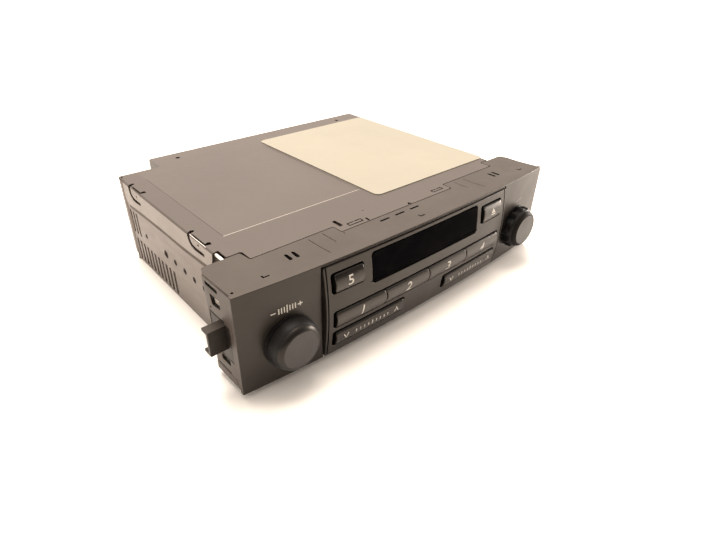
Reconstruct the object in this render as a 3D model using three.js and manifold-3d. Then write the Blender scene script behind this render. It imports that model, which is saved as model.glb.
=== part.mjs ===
// Car radio with a cassette deck: folded steel housing, bowed front with two wings,
// bulged control panel with keys, two rotary knobs and a fold-down display flap.
// Millimetres. +X right, +Y to the rear, +Z up. Drawn with Y = 0 at the middle of the
// front face and Z = 0 at the front's lower edge, then moved as one group so that the origin
// lies on the underside of the tray, ORIGIN_Y behind the front face.
import * as THREE from 'three';
import { mergeVertices } from 'three/addons/utils/BufferGeometryUtils.js';
import Module from 'manifold-3d';

const wasm = await Module();
wasm.setup();

// ---------- driving dimensions ----------
const ORIGIN_Y = 80;            // origin sits this far behind the front face
const BASE_Z = -2.9;            // underside of the tray, lower than the front's lower edge
const FACE_W = 202;             // width over the wings
const FACE_H = 47.8;            // height of the front
const BOW2 = 2.76, BOW4 = 1.37; // front face falls back by BOW2*u^2 + BOW4*u^4, u = x / half width
const FACE_T = 2.2;             // thickness of the face plate
const TOP_Z = 47.1;             // upper surface of cover and bezel flange
const CASE_W = 180;             // width over the cover's side flanges
const CASE_Y = 159.5;           // rear edge of the cover
const NOTCH_X = -66, NOTCH_Y = 143.3; // stepped left rear corner
const SHEET = 0.8;              // sheet steel
const PANEL_X = 61.9;           // half width of the control panel
const PANEL_Z0 = 0.3, PANEL_Z1 = 46.2;
const BULGE_0 = 0.3, BULGE_1 = 2.0, BULGE_ZC = 23.2, BULGE_ZR = 23.0;
const KEY_PROUD = 1.2;
const KNOB_X = 78.7, KNOB_Z = 18.4;
const WIN_X = 36.3, WIN_Z0 = 29.8, WIN_Z1 = 44.2;
const FLAP_Y = -1.15, FLAP_Z = 30.75, FLAP_R = 0.95; // flap pivot and its rounded lower edge
const PLATE_Z0 = 22, PLATE_Z1 = 23.2;               // deck base plate
const HUB_X = -1, HUB_Y = [43.75, 86.25];
const CAP_X = 27, CAP_Y = [33, 97];                 // capstans
const FLY_R = 16.5, FLY_Z0 = 13, FLY_Z1 = 18.6;
const MOTOR_X = 5, MOTOR_Y = 136, MOTOR_R = 11.6, PULLEY_R = 5;
const ARM_X = 46, ARM_Y = [46, 84], ROLL_X = 41, ROLL_Y = [33, 97], ROLL_R = 5.8;
const HALF = FACE_W / 2;

// ---------- helpers ----------
const bow = (x) => { const u = x / HALF; return BOW2 * u * u + BOW4 * u ** 4; };
const bulge = (z) => BULGE_0 + BULGE_1 * Math.max(0, 1 - ((z - BULGE_ZC) / BULGE_ZR) ** 2);

function solid(geo) {
  let g = geo.clone();
  g.deleteAttribute('normal'); g.deleteAttribute('uv');
  g = mergeVertices(g, 1e-5);
  return new wasm.Manifold(new wasm.Mesh({
    numProp: 3,
    vertProperties: new Float32Array(g.attributes.position.array),
    triVerts: new Uint32Array(g.index.array),
  }));
}
function back(man) {
  const m = man.getMesh();
  const g = new THREE.BufferGeometry();
  const n = m.numProp, c = m.vertProperties.length / n, p = new Float32Array(c * 3);
  for (let i = 0; i < c; i++) for (let k = 0; k < 3; k++) p[3 * i + k] = m.vertProperties[n * i + k];
  g.setAttribute('position', new THREE.BufferAttribute(p, 3));
  g.setIndex(new THREE.BufferAttribute(new Uint32Array(m.triVerts), 1));
  g.computeVertexNormals();
  return g;
}
const box = (x0, x1, y0, y1, z0, z1) => {
  const g = new THREE.BoxGeometry(x1 - x0, y1 - y0, z1 - z0);
  g.translate((x0 + x1) / 2, (y0 + y1) / 2, (z0 + z1) / 2);
  return solid(g);
};
// cylinders (r0 at the low end, r1 at the high end) along Z, Y and X
const cylZ = (x, y, z0, z1, r0, seg = 24, r1 = r0) => {
  const g = new THREE.CylinderGeometry(r1, r0, z1 - z0, seg);
  g.rotateX(Math.PI / 2); g.translate(x, y, (z0 + z1) / 2); return solid(g);
};
const cylY = (x, z, y0, y1, r0, seg = 24, r1 = r0) => {
  const g = new THREE.CylinderGeometry(r1, r0, y1 - y0, seg);
  g.translate(x, (y0 + y1) / 2, z); return solid(g);
};
const cylX = (y, z, x0, x1, r, seg = 16) => {
  const g = new THREE.CylinderGeometry(r, r, x1 - x0, seg);
  g.rotateZ(Math.PI / 2); g.translate((x0 + x1) / 2, y, z); return solid(g);
};
function shape(pts, holes = []) {
  const s = new THREE.Shape(pts.map((p) => new THREE.Vector2(p[0], p[1])));
  for (const h of holes) s.holes.push(new THREE.Path(h.map((p) => new THREE.Vector2(p[0], p[1]))));
  return s;
}
const prismZ = (pts, z0, z1, holes) => {            // outline in X, Y
  const g = new THREE.ExtrudeGeometry(shape(pts, holes), { depth: z1 - z0, bevelEnabled: false });
  g.translate(0, 0, z0); return solid(g);
};
const prismY = (pts, y0, y1, holes) => {            // outline in X, Z
  const g = new THREE.ExtrudeGeometry(shape(pts, holes), { depth: y1 - y0, bevelEnabled: false });
  g.rotateX(Math.PI / 2); g.translate(0, y1, 0); return solid(g);
};
const prismX = (pts, x0, x1) => {                   // outline in Y, Z
  const g = new THREE.ExtrudeGeometry(shape(pts), { depth: x1 - x0, bevelEnabled: false });
  g.rotateX(Math.PI / 2); g.rotateZ(Math.PI / 2); g.translate(x0, 0, 0); return solid(g);
};
function rrect(x0, x1, z0, z1, r, n = 3) {
  const out = [];
  const c = [[x1 - r, z0 + r, -90], [x1 - r, z1 - r, 0], [x0 + r, z1 - r, 90], [x0 + r, z0 + r, 180]];
  for (const [cx, cz, a0] of c) {
    for (let i = 0; i <= n; i++) {
      const a = (a0 + (90 * i) / n) * Math.PI / 180;
      out.push([cx + r * Math.cos(a), cz + r * Math.sin(a)]);
    }
  }
  return out;
}
const join = (...m) => m.reduce((a, b) => a.add(b));
const cut = (a, ...m) => m.reduce((s, b) => s.subtract(b), a);

// solid behind the bowed and bulged front surface, moved forward by off
function crowned(off, yBack, x0, x1, z0, z1, nx, nz) {
  const P = [], I = [];
  const id = (i, j, b) => (b * (nz + 1) + j) * (nx + 1) + i;
  for (let b = 0; b < 2; b++) for (let j = 0; j <= nz; j++) for (let i = 0; i <= nx; i++) {
    const x = x0 + ((x1 - x0) * i) / nx, z = z0 + ((z1 - z0) * j) / nz;
    P.push(x, b ? yBack(x) : bow(x) - bulge(z) - off, z);
  }
  const quad = (a, b, c, d) => I.push(a, b, c, a, c, d);
  for (let j = 0; j < nz; j++) for (let i = 0; i < nx; i++) {
    quad(id(i, j, 0), id(i + 1, j, 0), id(i + 1, j + 1, 0), id(i, j + 1, 0));
    quad(id(i, j, 1), id(i, j + 1, 1), id(i + 1, j + 1, 1), id(i + 1, j, 1));
  }
  for (let i = 0; i < nx; i++) {
    quad(id(i, 0, 0), id(i, 0, 1), id(i + 1, 0, 1), id(i + 1, 0, 0));
    quad(id(i, nz, 0), id(i + 1, nz, 0), id(i + 1, nz, 1), id(i, nz, 1));
  }
  for (let j = 0; j < nz; j++) {
    quad(id(0, j, 0), id(0, j + 1, 0), id(0, j + 1, 1), id(0, j, 1));
    quad(id(nx, j, 0), id(nx, j, 1), id(nx, j + 1, 1), id(nx, j + 1, 0));
  }
  const g = new THREE.BufferGeometry();
  g.setAttribute('position', new THREE.BufferAttribute(new Float32Array(P), 3));
  g.setIndex(I);
  return solid(g);
}

// ---------- materials ----------
const mat = (color, roughness, metalness) => new THREE.MeshStandardMaterial({ color, roughness, metalness });
const STEEL = mat(0xa5968a, 0.5, 0.6), STEEL_D = mat(0x8d8781, 0.45, 0.7);
const SHELL = mat(0x7c6f66, 0.55, 0), PANEL = mat(0x75685f, 0.55, 0), KEYC = mat(0x63574f, 0.5, 0);
const GLOSS = mat(0x0c0c0e, 0.12, 0), LCD = mat(0x20262a, 0.2, 0), KNOB = mat(0x17161a, 0.45, 0);
const CAPC = mat(0x6c5f56, 0.45, 0), PAPER = mat(0xf2e6cb, 0.7, 0), RUBBER = mat(0x2b2b2d, 0.85, 0);
const PCB = mat(0x2f5a37, 0.6, 0), CHIP = mat(0x1c1c1e, 0.6, 0), ALU = mat(0xb4b6b8, 0.4, 0.9);
const BRASS = mat(0xb59a58, 0.35, 0.9), BLACKP = mat(0x1b1a1c, 0.55, 0), CAN = mat(0xbfc0c0, 0.35, 0.8);

const root = new THREE.Group();
root.position.set(0, -ORIGIN_Y, -BASE_Z);
const put = (name, man, material) => {
  const m = new THREE.Mesh(back(man), material);
  m.name = name;
  root.add(m);
};

// ---------- tray: floor, sides, stepped rear wall ----------
{
  const IN = SHEET, xo = 88.9, yr = 158.6, ny = 142.4, y0 = 14, y1 = 31.4;
  const nx = NOTCH_X + 0.9;
  const B = BASE_Z;
  const floor = [[-xo, y0], [xo, y0], [xo, yr], [nx, yr], [nx, ny], [-xo, ny]];
  let t = join(
    prismZ(floor, B, B + 1),
    box(-xo, xo, y0, y0 + IN, B + 0.5, -0.3),
    box(-xo, -xo + IN, y0, y1 + 0.5, B + 0.5, -0.3), box(xo - IN, xo, y0, y1 + 0.5, B + 0.5, -0.3),
    box(-xo, -xo + IN, y1, ny, B + 0.5, 46), box(xo - IN, xo, y1, yr, B + 0.5, 46),
    box(-xo, -xo + IN, 12, y1 + 0.5, 1.9, 45.1), box(xo - IN, xo, 12, y1 + 0.5, 1.9, 45.1),
    box(-xo, nx + IN, ny - IN, ny, B + 0.5, 46),
    box(nx, nx + IN, ny - IN, yr, B + 0.5, 46),
    box(nx, xo, yr - IN, yr, B + 0.5, 46),
    cylZ(-76, 44, B + 0.5, 5, 3, 10), cylZ(76, 44, B + 0.5, 5, 3, 10), cylZ(70, 128, B + 0.5, 5, 3, 10), cylZ(-76, 128, B + 0.5, 5, 3, 10),
  );
  const cuts = [];
  for (const s of [-1, 1]) {
    const x0 = s < 0 ? -xo - 1 : xo - IN - 1, x1 = s < 0 ? -xo + IN + 1 : xo + 1;
    for (let i = 0; i < 11; i++) cuts.push(box(x0, x1, 88.4 + 4.7 * i, 90.8 + 4.7 * i, -1.2, 12.3));
    for (let i = 0; i < 3; i++) cuts.push(box(x0, x1, 128.4 + 4 * i, 130.4 + 4 * i, 16, 30));
    for (const [y, r] of [[54.6, 1.3], [64.4, 1.25], [74.3, 1.25], [84.7, 1.25], [95.4, 1.8], [120.1, 0.9], [129.9, 0.9]]) {
      cuts.push(cylX(y, 20, x0, x1, r, 8));
    }
  }
  // lower rear corners of the side walls are cut back
  cuts.push(box(-xo - 1, -xo + 1.5, 140.9, ny + 1, B - 1, 0.8), box(xo - 1.5, xo + 1, yr - 1.5, yr + 1, B - 1, 0.8));
  // rear wall openings for the sockets, the fuse and the aerial
  cuts.push(box(17.7, 50.3, yr - 2, yr + 1, 7.7, 32.3));
  cuts.push(box(-34.3, -13.7, yr - 2, yr + 1, 7.7, 28.3));
  cuts.push(cylY(-48, 20, yr - 2, yr + 1, 7.9, 20));
  cuts.push(box(54.7, 69.3, yr - 2, yr + 1, 9.7, 20.3));
  put('chassis_tray', cut(t, ...cuts), STEEL);
}

// ---------- cover: sheet with side and rear flanges and a shallow pressed field ----------
{
  const xo = CASE_W / 2, t = SHEET;
  const plan = [
    [-xo, 31.6], [-80.2, 31.6], [-80.2, 24.5], [-37.2, 24.5], [-37.2, 18.5], [37.7, 18.5], [37.7, 24.5], [80.2, 24.5], [80.2, 31.6], [xo, 31.6],
    [xo, CASE_Y], [NOTCH_X, CASE_Y], [NOTCH_X, NOTCH_Y], [-xo, NOTCH_Y],
  ];
  const cover = join(
    prismZ(plan, TOP_Z - t, TOP_Z),
    box(-xo, -xo + t, 31.6, NOTCH_Y, 36, TOP_Z - 0.4), box(xo - t, xo, 31.6, CASE_Y, 36, TOP_Z - 0.4),
    box(NOTCH_X, xo, CASE_Y - 0.6, CASE_Y, 40, TOP_Z - 0.4),
    box(-xo, NOTCH_X, NOTCH_Y - 0.6, NOTCH_Y, 40, TOP_Z - 0.4),
    box(NOTCH_X, NOTCH_X + 0.6, NOTCH_Y - 0.6, CASE_Y, 40, TOP_Z - 0.4),
  );
  put('top_cover', cut(cover,
    box(-79.3, 0.4, 48, 139, TOP_Z - 0.4, TOP_Z + 1),
    box(-90.5, -86.6, 48, 60.7, 44.6, TOP_Z + 1).subtract(box(-91, -86, 50.3, 58.4, 40, TOP_Z + 2)),
    box(-90.5, -86.6, 114, 126.9, 44.6, TOP_Z + 1).subtract(box(-91, -86, 116.3, 124.6, 40, TOP_Z + 2)),
    box(86.6, 90.5, 48, 60.7, 44.6, TOP_Z + 1).subtract(box(86, 91, 50.3, 58.4, 40, TOP_Z + 2)),
    box(86.6, 90.5, 114, 126.9, 44.6, TOP_Z + 1).subtract(box(86, 91, 116.3, 124.6, 40, TOP_Z + 2)),
  ), STEEL);
  put('label_plate', prismZ(rrect(1, 88.4, 35.5, 145, 4, 4), TOP_Z, TOP_Z + 0.35), PAPER);
}

// ---------- bezel: bowed face with a middle opening, flanges and wing side walls ----------
{
  const front = [], rear = [];
  for (let i = 0; i <= 24; i++) {
    const x = -HALF + (FACE_W * i) / 24;
    front.push([x, bow(x)]);
    rear.push([x, bow(x) + FACE_T]);
  }
  const face = prismZ([...front, ...rear.reverse()], 0, FACE_H);
  const flange = (z0, z1, rim) => {
    const lead = [];
    for (let i = 0; i <= 12; i++) { const x = -100 + (200 * i) / 12; lead.push([x, bow(x) + FACE_T - 0.6]); }
    return prismZ([...lead, ...rim], z0, z1);
  };
  const top = flange(TOP_Z - 1.6, TOP_Z, [[100.2, 27], [98.6, 31], [80.6, 31], [80.6, 24.1], [38, 24.1], [38, 18.1],
    [-37.5, 18.1], [-37.5, 24.1], [-80.6, 24.1], [-80.6, 31], [-98.6, 31], [-100.2, 27]]);
  // the lower flange is cut away under the wings, behind their front corners
  const bottom = flange(0, 1.5, [[100.2, 10], [90.5, 10], [90.5, 24.1], [-90.5, 24.1], [-90.5, 10], [-100.2, 10]]);
  let b = join(cut(face, box(-62.3, 62.3, -3, 8, -1, 46.5)), top, bottom);
  for (const s of [-1, 1]) {
    const wx0 = s < 0 ? -100.5 : 99, wx1 = s < 0 ? -99 : 100.5;
    let w = prismX([[5, 0], [25, 0], [24.4, 24], [27.4, TOP_Z - 0.2], [5, TOP_Z - 0.2]], wx0, wx1);
    const a = wx0 - 1, c = wx1 + 1;
    w = cut(w,
      box(a, c, 15.6, 24.8, 43.4, 45),            // upper slot
      prismX([[14.9, 36.4], [21.4, 35.8], [22.4, 40.6], [15, 40.4]], a, c), // window
      box(a, c, 9.4, 30, 30.6, 31.4),             // slit above the latch tongue
      box(a, c, 9.4, 30, 12.6, 30.8),             // bay of the latch tongue
      prismX([[13, 9.4], [19.6, 9.4], [19.6, 13], [13, 13]], a, c),
      box(a, c, 13.5, 30, 4.6, 5.4),              // slit over the foot rail
    );
    b = b.add(w);
    // wing ribs that join flange and face
    b = b.add(box(s < 0 ? -66.4 : 65.2, s < 0 ? -65.2 : 66.4, 3, 4.8, 1, 46));
    b = cut(b, cylY(s * KNOB_X, KNOB_Z, -2, 12, 5.2, 24));
    for (const x of s < 0 ? [-68, -64.5] : [69.4, 72.9]) b = cut(b, box(x - 0.6, x + 0.6, 12.6, 18, 44, 48));
  }
  // slots in the top flange
  for (const x of [-14.4, -4.4, 5.6]) b = cut(b, box(x - 3, x + 3, 14.1, 15.3, 44, 48));
  put('front_bezel', b, SHELL);
}

// ---------- control panel ----------
const TA = [-57, -41.6, 33.2, 41.6], EJ = [41.4, 57, 33.2, 41.8];
const ROW_Z = [15.4, 23.1], ROW_X = [-56.9, -28.4, 0.3, 28.9, 57];
const RK = [[-57.1, -15.4, 5.2, 12.2], [14, 57.1, 5.2, 12.2]];
{
  const G = 0.55;
  const yb = (x) => bow(x) + 1.3;
  let p = crowned(0, yb, -PANEL_X, PANEL_X, PANEL_Z0, PANEL_Z1, 16, 8);
  const open = (x0, x1, z0, z1, r) => { p = p.subtract(prismY(rrect(x0 - G, x1 + G, z0 - G, z1 + G, r, 2), -6, 8)); };
  open(...TA, 1.3); open(...EJ, 1.3);
  open(ROW_X[0], ROW_X[4], ...ROW_Z, 1.3);
  for (const r of RK) open(...r, 1.3);
  p = p.subtract(prismY(rrect(-WIN_X - 0.3, WIN_X + 0.3, WIN_Z0 - 0.4, WIN_Z1 + 0.3, 1.6, 2), -6, 8));
  p = cut(p, cylX(FLAP_Y, FLAP_Z, -38, 38, 0.66, 12));
  put('control_panel', p, PANEL);
}

// ---------- keys ----------
function key(name, x0, x1, z0, z1, stems, yb = 3.4) {
  const skin = crowned(KEY_PROUD, () => yb, x0 - 1, x1 + 1, z0 - 1, z1 + 1, 4, 4);
  let k = skin.intersect(prismY(rrect(x0, x1, z0, z1, 1.0, 2), -8, 6));
  for (const [sx, sz] of stems) k = k.add(box(sx - 1.5, sx + 1.5, yb - 0.5, 5.5, sz - 1.5, sz + 1.5));
  put(name, k, KEYC);
}
key('assist_key', ...TA, [[-49.3, 37.4]]);
key('eject_key', ...EJ, [[49.2, 37.5]]);
for (let i = 0; i < 4; i++) {
  const x0 = ROW_X[i] + (i ? 0.25 : 0), x1 = ROW_X[i + 1] - (i < 3 ? 0.25 : 0);
  key(`mode_key_${i + 1}`, x0, x1, ...ROW_Z, [[(x0 + x1) / 2 - 8, 19.3], [(x0 + x1) / 2 + 8, 19.3]]);
}
['left', 'right'].forEach((n, i) => {
  const [x0, x1, z0, z1] = RK[i];
  key(`rocker_${n}`, x0 + 0.3, x1 - 0.3, z0 + 0.1, z1 - 0.1, [[x0 + 6, 8.7], [x1 - 6, 8.7]], 3.1);
});

// ---------- display flap on two trunnions, with the display cell in its back ----------
{
  const yBack = 0.4;
  const skin = crowned(0, () => yBack, -WIN_X - 1, WIN_X + 1, WIN_Z0 - 1, WIN_Z1 + 1, 8, 6);
  const upper = skin.intersect(prismY(rrect(-WIN_X, WIN_X, FLAP_Z - 3, WIN_Z1, 1.5, 2), -6, 3));
  const above = upper.intersect(box(-40, 40, -6, 3, FLAP_Z, 50));
  const knuckle = cylX(FLAP_Y, FLAP_Z, -35.7, 35.7, FLAP_R, 16);
  const web = prismX([[FLAP_Y, FLAP_Z - 0.9], [yBack, FLAP_Z - 0.1], [yBack, FLAP_Z + 1], [FLAP_Y, FLAP_Z + 1]], -35.7, 35.7);
  let f = join(above, knuckle, web, cylX(FLAP_Y, FLAP_Z, -37.6, 37.6, 0.6, 12));
  f = f.subtract(box(-31, 31, -0.55, 2, 32.4, 42.9));
  put('tape_flap', f, GLOSS);
  put('display_cell', box(-30.7, 30.7, -0.5, 0.35, 32.7, 42.6), LCD);
}

// ---------- knobs, shafts and encoders ----------
{
  const prof = (pts) => pts.map(([r, y]) => new THREE.Vector2(r, -y));
  const turned = (x, pts, seg) => {                 // profile of [radius, y], from the back to the front
    const g = new THREE.LatheGeometry(prof(pts), seg);
    g.scale(1, -1, 1);
    g.index.array.reverse();
    g.translate(x, 0, KNOB_Z);
    return solid(g);
  };
  const tune = turned(-KNOB_X, [[0, 1.15], [11.7, 1.15], [11.7, 0.4], [10.4, -4.8], [0, -4.8]], 32);
  put('tune_knob', tune.subtract(cylY(-KNOB_X, KNOB_Z, -3.4, 4, 3.05, 20)), KNOB);
  put('tune_cap', turned(-KNOB_X, [[0, -4.8], [10.3, -4.8], [9.8, -5.4], [8, -6.2], [0, -6.2]], 32), CAPC);
  put('tune_shaft', cylY(-KNOB_X, KNOB_Z, -3.1, 3.0, 3, 20), STEEL_D);

  const star = [];
  for (let i = 0; i < 48; i++) {                    // sixteen shallow flutes
    const a = (i / 48) * Math.PI * 2, r = i % 3 === 0 ? 11.5 : 12.2;
    star.push([KNOB_X + r * Math.cos(a), KNOB_Z + r * Math.sin(a)]);
  }
  const vol = join(prismY(star, -2.6, 1.15), turned(KNOB_X, [[0, 0], [11.4, 0], [11.4, -2.6], [10.4, -4.8], [0, -4.8]], 32));
  put('volume_knob', vol.subtract(cylY(KNOB_X, KNOB_Z, -3.4, 4, 3.05, 20)), KNOB);
  put('volume_cap', turned(KNOB_X, [[0, -4.8], [10.3, -4.8], [9.8, -5.4], [8, -6.2], [0, -6.2]], 32), CAPC);
  put('volume_shaft', cylY(KNOB_X, KNOB_Z, -3.1, 3.0, 3, 20), STEEL_D);
  for (const [n, s] of [['tune', -1], ['volume', 1]]) {
    put(`${n}_encoder`, join(cylY(s * KNOB_X, KNOB_Z, 3.06, 5.5, 4.4, 20),
      box(s * KNOB_X - 6.2, s * KNOB_X + 6.2, 5.2, 8.1, KNOB_Z - 6.5, KNOB_Z + 6.5)), ALU);
  }
}

// ---------- side latches in the wings ----------
for (const [n, s] of [['left', -1], ['right', 1]]) {
  const f = (a, b) => (s < 0 ? [-b, -a] : [a, b]);
  let l = join(
    box(...f(99.1, 100.4), 9.8, 24.2, 13, 30.2),
    box(...f(100.2, 108), 12.9, 14.5, 18.5, 30.2),
    box(...f(100.2, 108), 12.9, 17.9, 28.8, 30.2),
    box(...f(100.2, 108), 12.9, 17.9, 18.5, 19.9),
  );
  put(`side_latch_${n}`, l, BLACKP);
}

// ---------- key mat and front circuit board ----------
put('key_mat', cut(box(-60, 60, 6.85, 7.85, 4, 43.4), box(-38, 38, 5, 9, 28.6, 46)), RUBBER);
put('front_board', cut(box(-86.5, 86.5, 8.2, 9.7, 3, 43.8), box(-39, 39, 7, 11, 28.2, 46)), PCB);

// ---------- main board and what stands on it ----------
put('main_board', prismZ([[-84, 30], [84, 30], [84, 140], [-60, 140], [-60, 138], [-84, 138]], 5, 6.6), PCB);
put('tuner_can', box(-82, -54, 60, 108, 6.6, 26), CAN);
put('controller_chip', box(-20, 10, 62, 84, 6.6, 9.2), CHIP);
put('filter_cap_large', cylZ(68, 60, 6.6, 32, 8, 20), BLACKP);
put('filter_cap_small', cylZ(66, 84, 6.6, 26, 6.3, 20), BLACKP);
{
  let h = box(78, 87.7, 130, 156, 8, 40);
  for (let i = 0; i < 4; i++) h = h.subtract(box(80.5, 88.5, 132.5 + 6 * i, 135.5 + 6 * i, 7, 41));
  put('heat_block', h, ALU);
  put('power_amplifier', box(73.2, 78, 132, 154, 8.5, 24), CHIP);
}
{
  const pins = (x0, dx, nx, z, y0, y1) => {
    const out = [];
    for (let i = 0; i < nx; i++) out.push(box(x0 + dx * i - 0.5, x0 + dx * i + 0.5, y0, y1, z - 0.5, z + 0.5));
    return out;
  };
  let iso = cut(box(18, 50, 141, 159.4, 8, 32), box(19.5, 48.5, 146, 161, 9.5, 19.4), box(19.5, 48.5, 146, 161, 20.9, 30.6));
  iso = join(iso, ...pins(23, 7.33, 4, 12, 145.5, 155), ...pins(23, 7.33, 4, 17, 145.5, 155),
    ...pins(23, 7.33, 4, 23.3, 145.5, 155), ...pins(23, 7.33, 4, 28.3, 145.5, 155));
  put('power_speaker_socket', iso, BLACKP);
  let ch = cut(box(-34, -14, 144, 159.4, 8, 28), cylY(-24, 18, 149, 161, 8, 20));
  ch = join(ch, box(-25.6, -22.4, 148.5, 155, 16.4, 19.6));
  put('changer_socket', ch, BLACKP);
  let an = cut(join(cylY(-48, 20, 146, 159.4, 7.5, 20), box(-57, -39, 143, 146.5, 11, 29)), cylY(-48, 20, 147, 161, 5.2, 20));
  an = join(an, cylY(-48, 20, 146.8, 156, 1.2, 8));
  put('aerial_socket', an, CAN);
  put('fuse', cut(box(55, 69, 146, 159.4, 10, 20), box(58, 66, 157.5, 161, 12, 18)), BLACKP);
}

// ---------- tape deck ----------
{
  let d = join(
    box(-48, 52, 14, 126, PLATE_Z0, PLATE_Z1), box(-9, 17, 125, 149, PLATE_Z0, PLATE_Z1),
    box(-87.6, 87.6, 16, 26, PLATE_Z0, PLATE_Z1), box(-87.6, 87.6, 116, 126, PLATE_Z0, PLATE_Z1),
  );
  for (const s of [-1, 1]) for (const y of [16, 116]) {
    d = d.add(box(s < 0 ? -87.6 : 86.4, s < 0 ? -86.4 : 87.6, y, y + 10, PLATE_Z0, 34));
  }
  for (const y of ARM_Y) d = d.add(cylZ(ARM_X, y, PLATE_Z0 + 0.5, 30, 1.5, 14));
  for (const y of HUB_Y) d = d.subtract(cylZ(HUB_X, y, 20, 25, 1.58, 14));
  for (const y of CAP_Y) d = d.subtract(cylZ(CAP_X, y, 20, 25, 1.33, 14));
  d = d.subtract(cylZ(MOTOR_X, MOTOR_Y, 20, 25, 2.2, 14));
  put('deck_frame', d, STEEL_D);

  const side = (x0, x1) => box(x0, x1, 15, 118, 31, 45.1);
  let c = join(side(-34.4, -33.6), side(33.6, 34.4), box(-34.4, 34.4, 15, 118, 44.3, 45.1),
    box(-34.4, -28.6, 15, 118, 31, 31.8), box(28.6, 34.4, 15, 118, 31, 31.8), box(-34.4, 34.4, 117.2, 118, 31, 45.1));
  c = cut(c, box(28, 36, 24, 106, 30, 43.4), box(-20, 20, 40, 92, 43, 46));
  put('tape_carriage', c, STEEL_D);

  HUB_Y.forEach((y, i) => {
    put(i ? 'spindle_rear' : 'spindle_front', join(
      cylZ(HUB_X, y, 20.4, 24, 1.5, 14), cylZ(HUB_X, y, 23.5, 25.4, 8.6, 24), cylZ(HUB_X, y, 25, 30.6, 3.4, 12),
      box(HUB_X - 4.2, HUB_X + 4.2, y - 0.6, y + 0.6, 25.2, 29.6)), BLACKP);
  });
  CAP_Y.forEach((y, i) => {
    put(i ? 'flywheel_rear' : 'flywheel_front', join(
      cylZ(CAP_X, y, FLY_Z0, FLY_Z1, FLY_R, 32), cylZ(CAP_X, y, FLY_Z1 - 0.5, 21.7, 4, 14), cylZ(CAP_X, y, 20, 30.6, 1.25, 14)), BRASS);
  });
  put('drive_motor', join(cylZ(MOTOR_X, MOTOR_Y, PLATE_Z1, 40, MOTOR_R, 24), cylZ(MOTOR_X, MOTOR_Y, 39.5, 42, 4, 14)), CAN);
  put('motor_pulley', cylZ(MOTOR_X, MOTOR_Y, 13.4, 18.2, PULLEY_R, 24).add(cylZ(MOTOR_X, MOTOR_Y, 17.8, 23, 1, 10)), BRASS);

  // belt: band round both flywheels and the pulley
  const hull = (off) => {
    const pts = [];
    for (const [x, y, r] of [[CAP_X, CAP_Y[0], FLY_R], [CAP_X, CAP_Y[1], FLY_R], [MOTOR_X, MOTOR_Y, PULLEY_R]]) {
      for (let i = 0; i < 32; i++) { const a = (i / 32) * Math.PI * 2; pts.push([x + (r + off) * Math.cos(a), y + (r + off) * Math.sin(a)]); }
    }
    pts.sort((p, q) => p[0] - q[0] || p[1] - q[1]);
    const cr = (o, a, b) => (a[0] - o[0]) * (b[1] - o[1]) - (a[1] - o[1]) * (b[0] - o[0]);
    const half = (list) => { const h = []; for (const p of list) { while (h.length > 1 && cr(h[h.length - 2], h[h.length - 1], p) <= 1e-6) h.pop(); h.push(p); } h.pop(); return h; };
    return [...half(pts), ...half([...pts].reverse())];
  };
  put('drive_belt', prismZ(hull(1.2), 15.2, 16.8).subtract(prismZ(hull(0.35), 14, 18)), RUBBER);

  put('head_slide', join(box(37.6, 51, 52, 78, 23.5, 24.7), box(48.5, 49.7, 54, 76, 24, 34)), STEEL_D);
  put('tape_head', box(37, 45, 59, 71, 24.7, 37.4), CAN);
  ARM_Y.forEach((py, i) => {
    const ry = ROLL_Y[i], name = i ? 'rear' : 'front';
    const dx = ROLL_X - ARM_X, dy = ry - py, L = Math.hypot(dx, dy), nx = -dy / L, ny = dx / L, w = 2.4;
    const arm = prismZ([[ARM_X + nx * w, py + ny * w], [ARM_X - nx * w, py - ny * w], [ROLL_X - nx * w, ry - ny * w], [ROLL_X + nx * w, ry + ny * w]].reverse(), 24.2, 25.4);
    let a = join(i ? prismZ([[ARM_X + nx * w, py + ny * w], [ROLL_X + nx * w, ry + ny * w], [ROLL_X - nx * w, ry - ny * w], [ARM_X - nx * w, py - ny * w]].reverse(), 24.2, 25.4) : arm,
      cylZ(ARM_X, py, 24.2, 28.6, 3, 16), cylZ(ROLL_X, ry, 24.2, 25.4, 3.4, 16), cylZ(ROLL_X, ry, 25, 36.4, 1.2, 14));
    a = a.subtract(cylZ(ARM_X, py, 20, 31, 1.6, 14));
    put(`pinch_arm_${name}`, a, STEEL_D);
    put(`pinch_roller_${name}`, cylZ(ROLL_X, ry, 25.8, 35.8, ROLL_R, 24).subtract(cylZ(ROLL_X, ry, 24, 38, 1.28, 14)), RUBBER);
  });
}

export default root;
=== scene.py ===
import math
import bpy
import bmesh
from mathutils import Vector, Matrix


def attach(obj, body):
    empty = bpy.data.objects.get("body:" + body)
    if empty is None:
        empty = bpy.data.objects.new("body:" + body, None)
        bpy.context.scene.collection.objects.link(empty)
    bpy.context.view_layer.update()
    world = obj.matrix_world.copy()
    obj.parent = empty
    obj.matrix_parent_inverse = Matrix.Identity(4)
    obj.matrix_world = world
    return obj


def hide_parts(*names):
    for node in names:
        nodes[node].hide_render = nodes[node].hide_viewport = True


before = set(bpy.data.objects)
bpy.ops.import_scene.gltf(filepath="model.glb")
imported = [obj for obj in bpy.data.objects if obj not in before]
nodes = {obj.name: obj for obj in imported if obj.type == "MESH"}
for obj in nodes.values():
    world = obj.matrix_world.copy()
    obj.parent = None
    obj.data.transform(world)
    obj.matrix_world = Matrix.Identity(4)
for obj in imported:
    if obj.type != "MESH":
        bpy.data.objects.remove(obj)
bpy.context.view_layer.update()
scene = bpy.context.scene

# Pieces are drawn in millimetres: X to the right, Y to the rear from the middle of the front
# face, Z up from the front's lower edge. M turns that into the model's metres.
ORIGIN_Y = 80.0
BASE = 2.9


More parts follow.
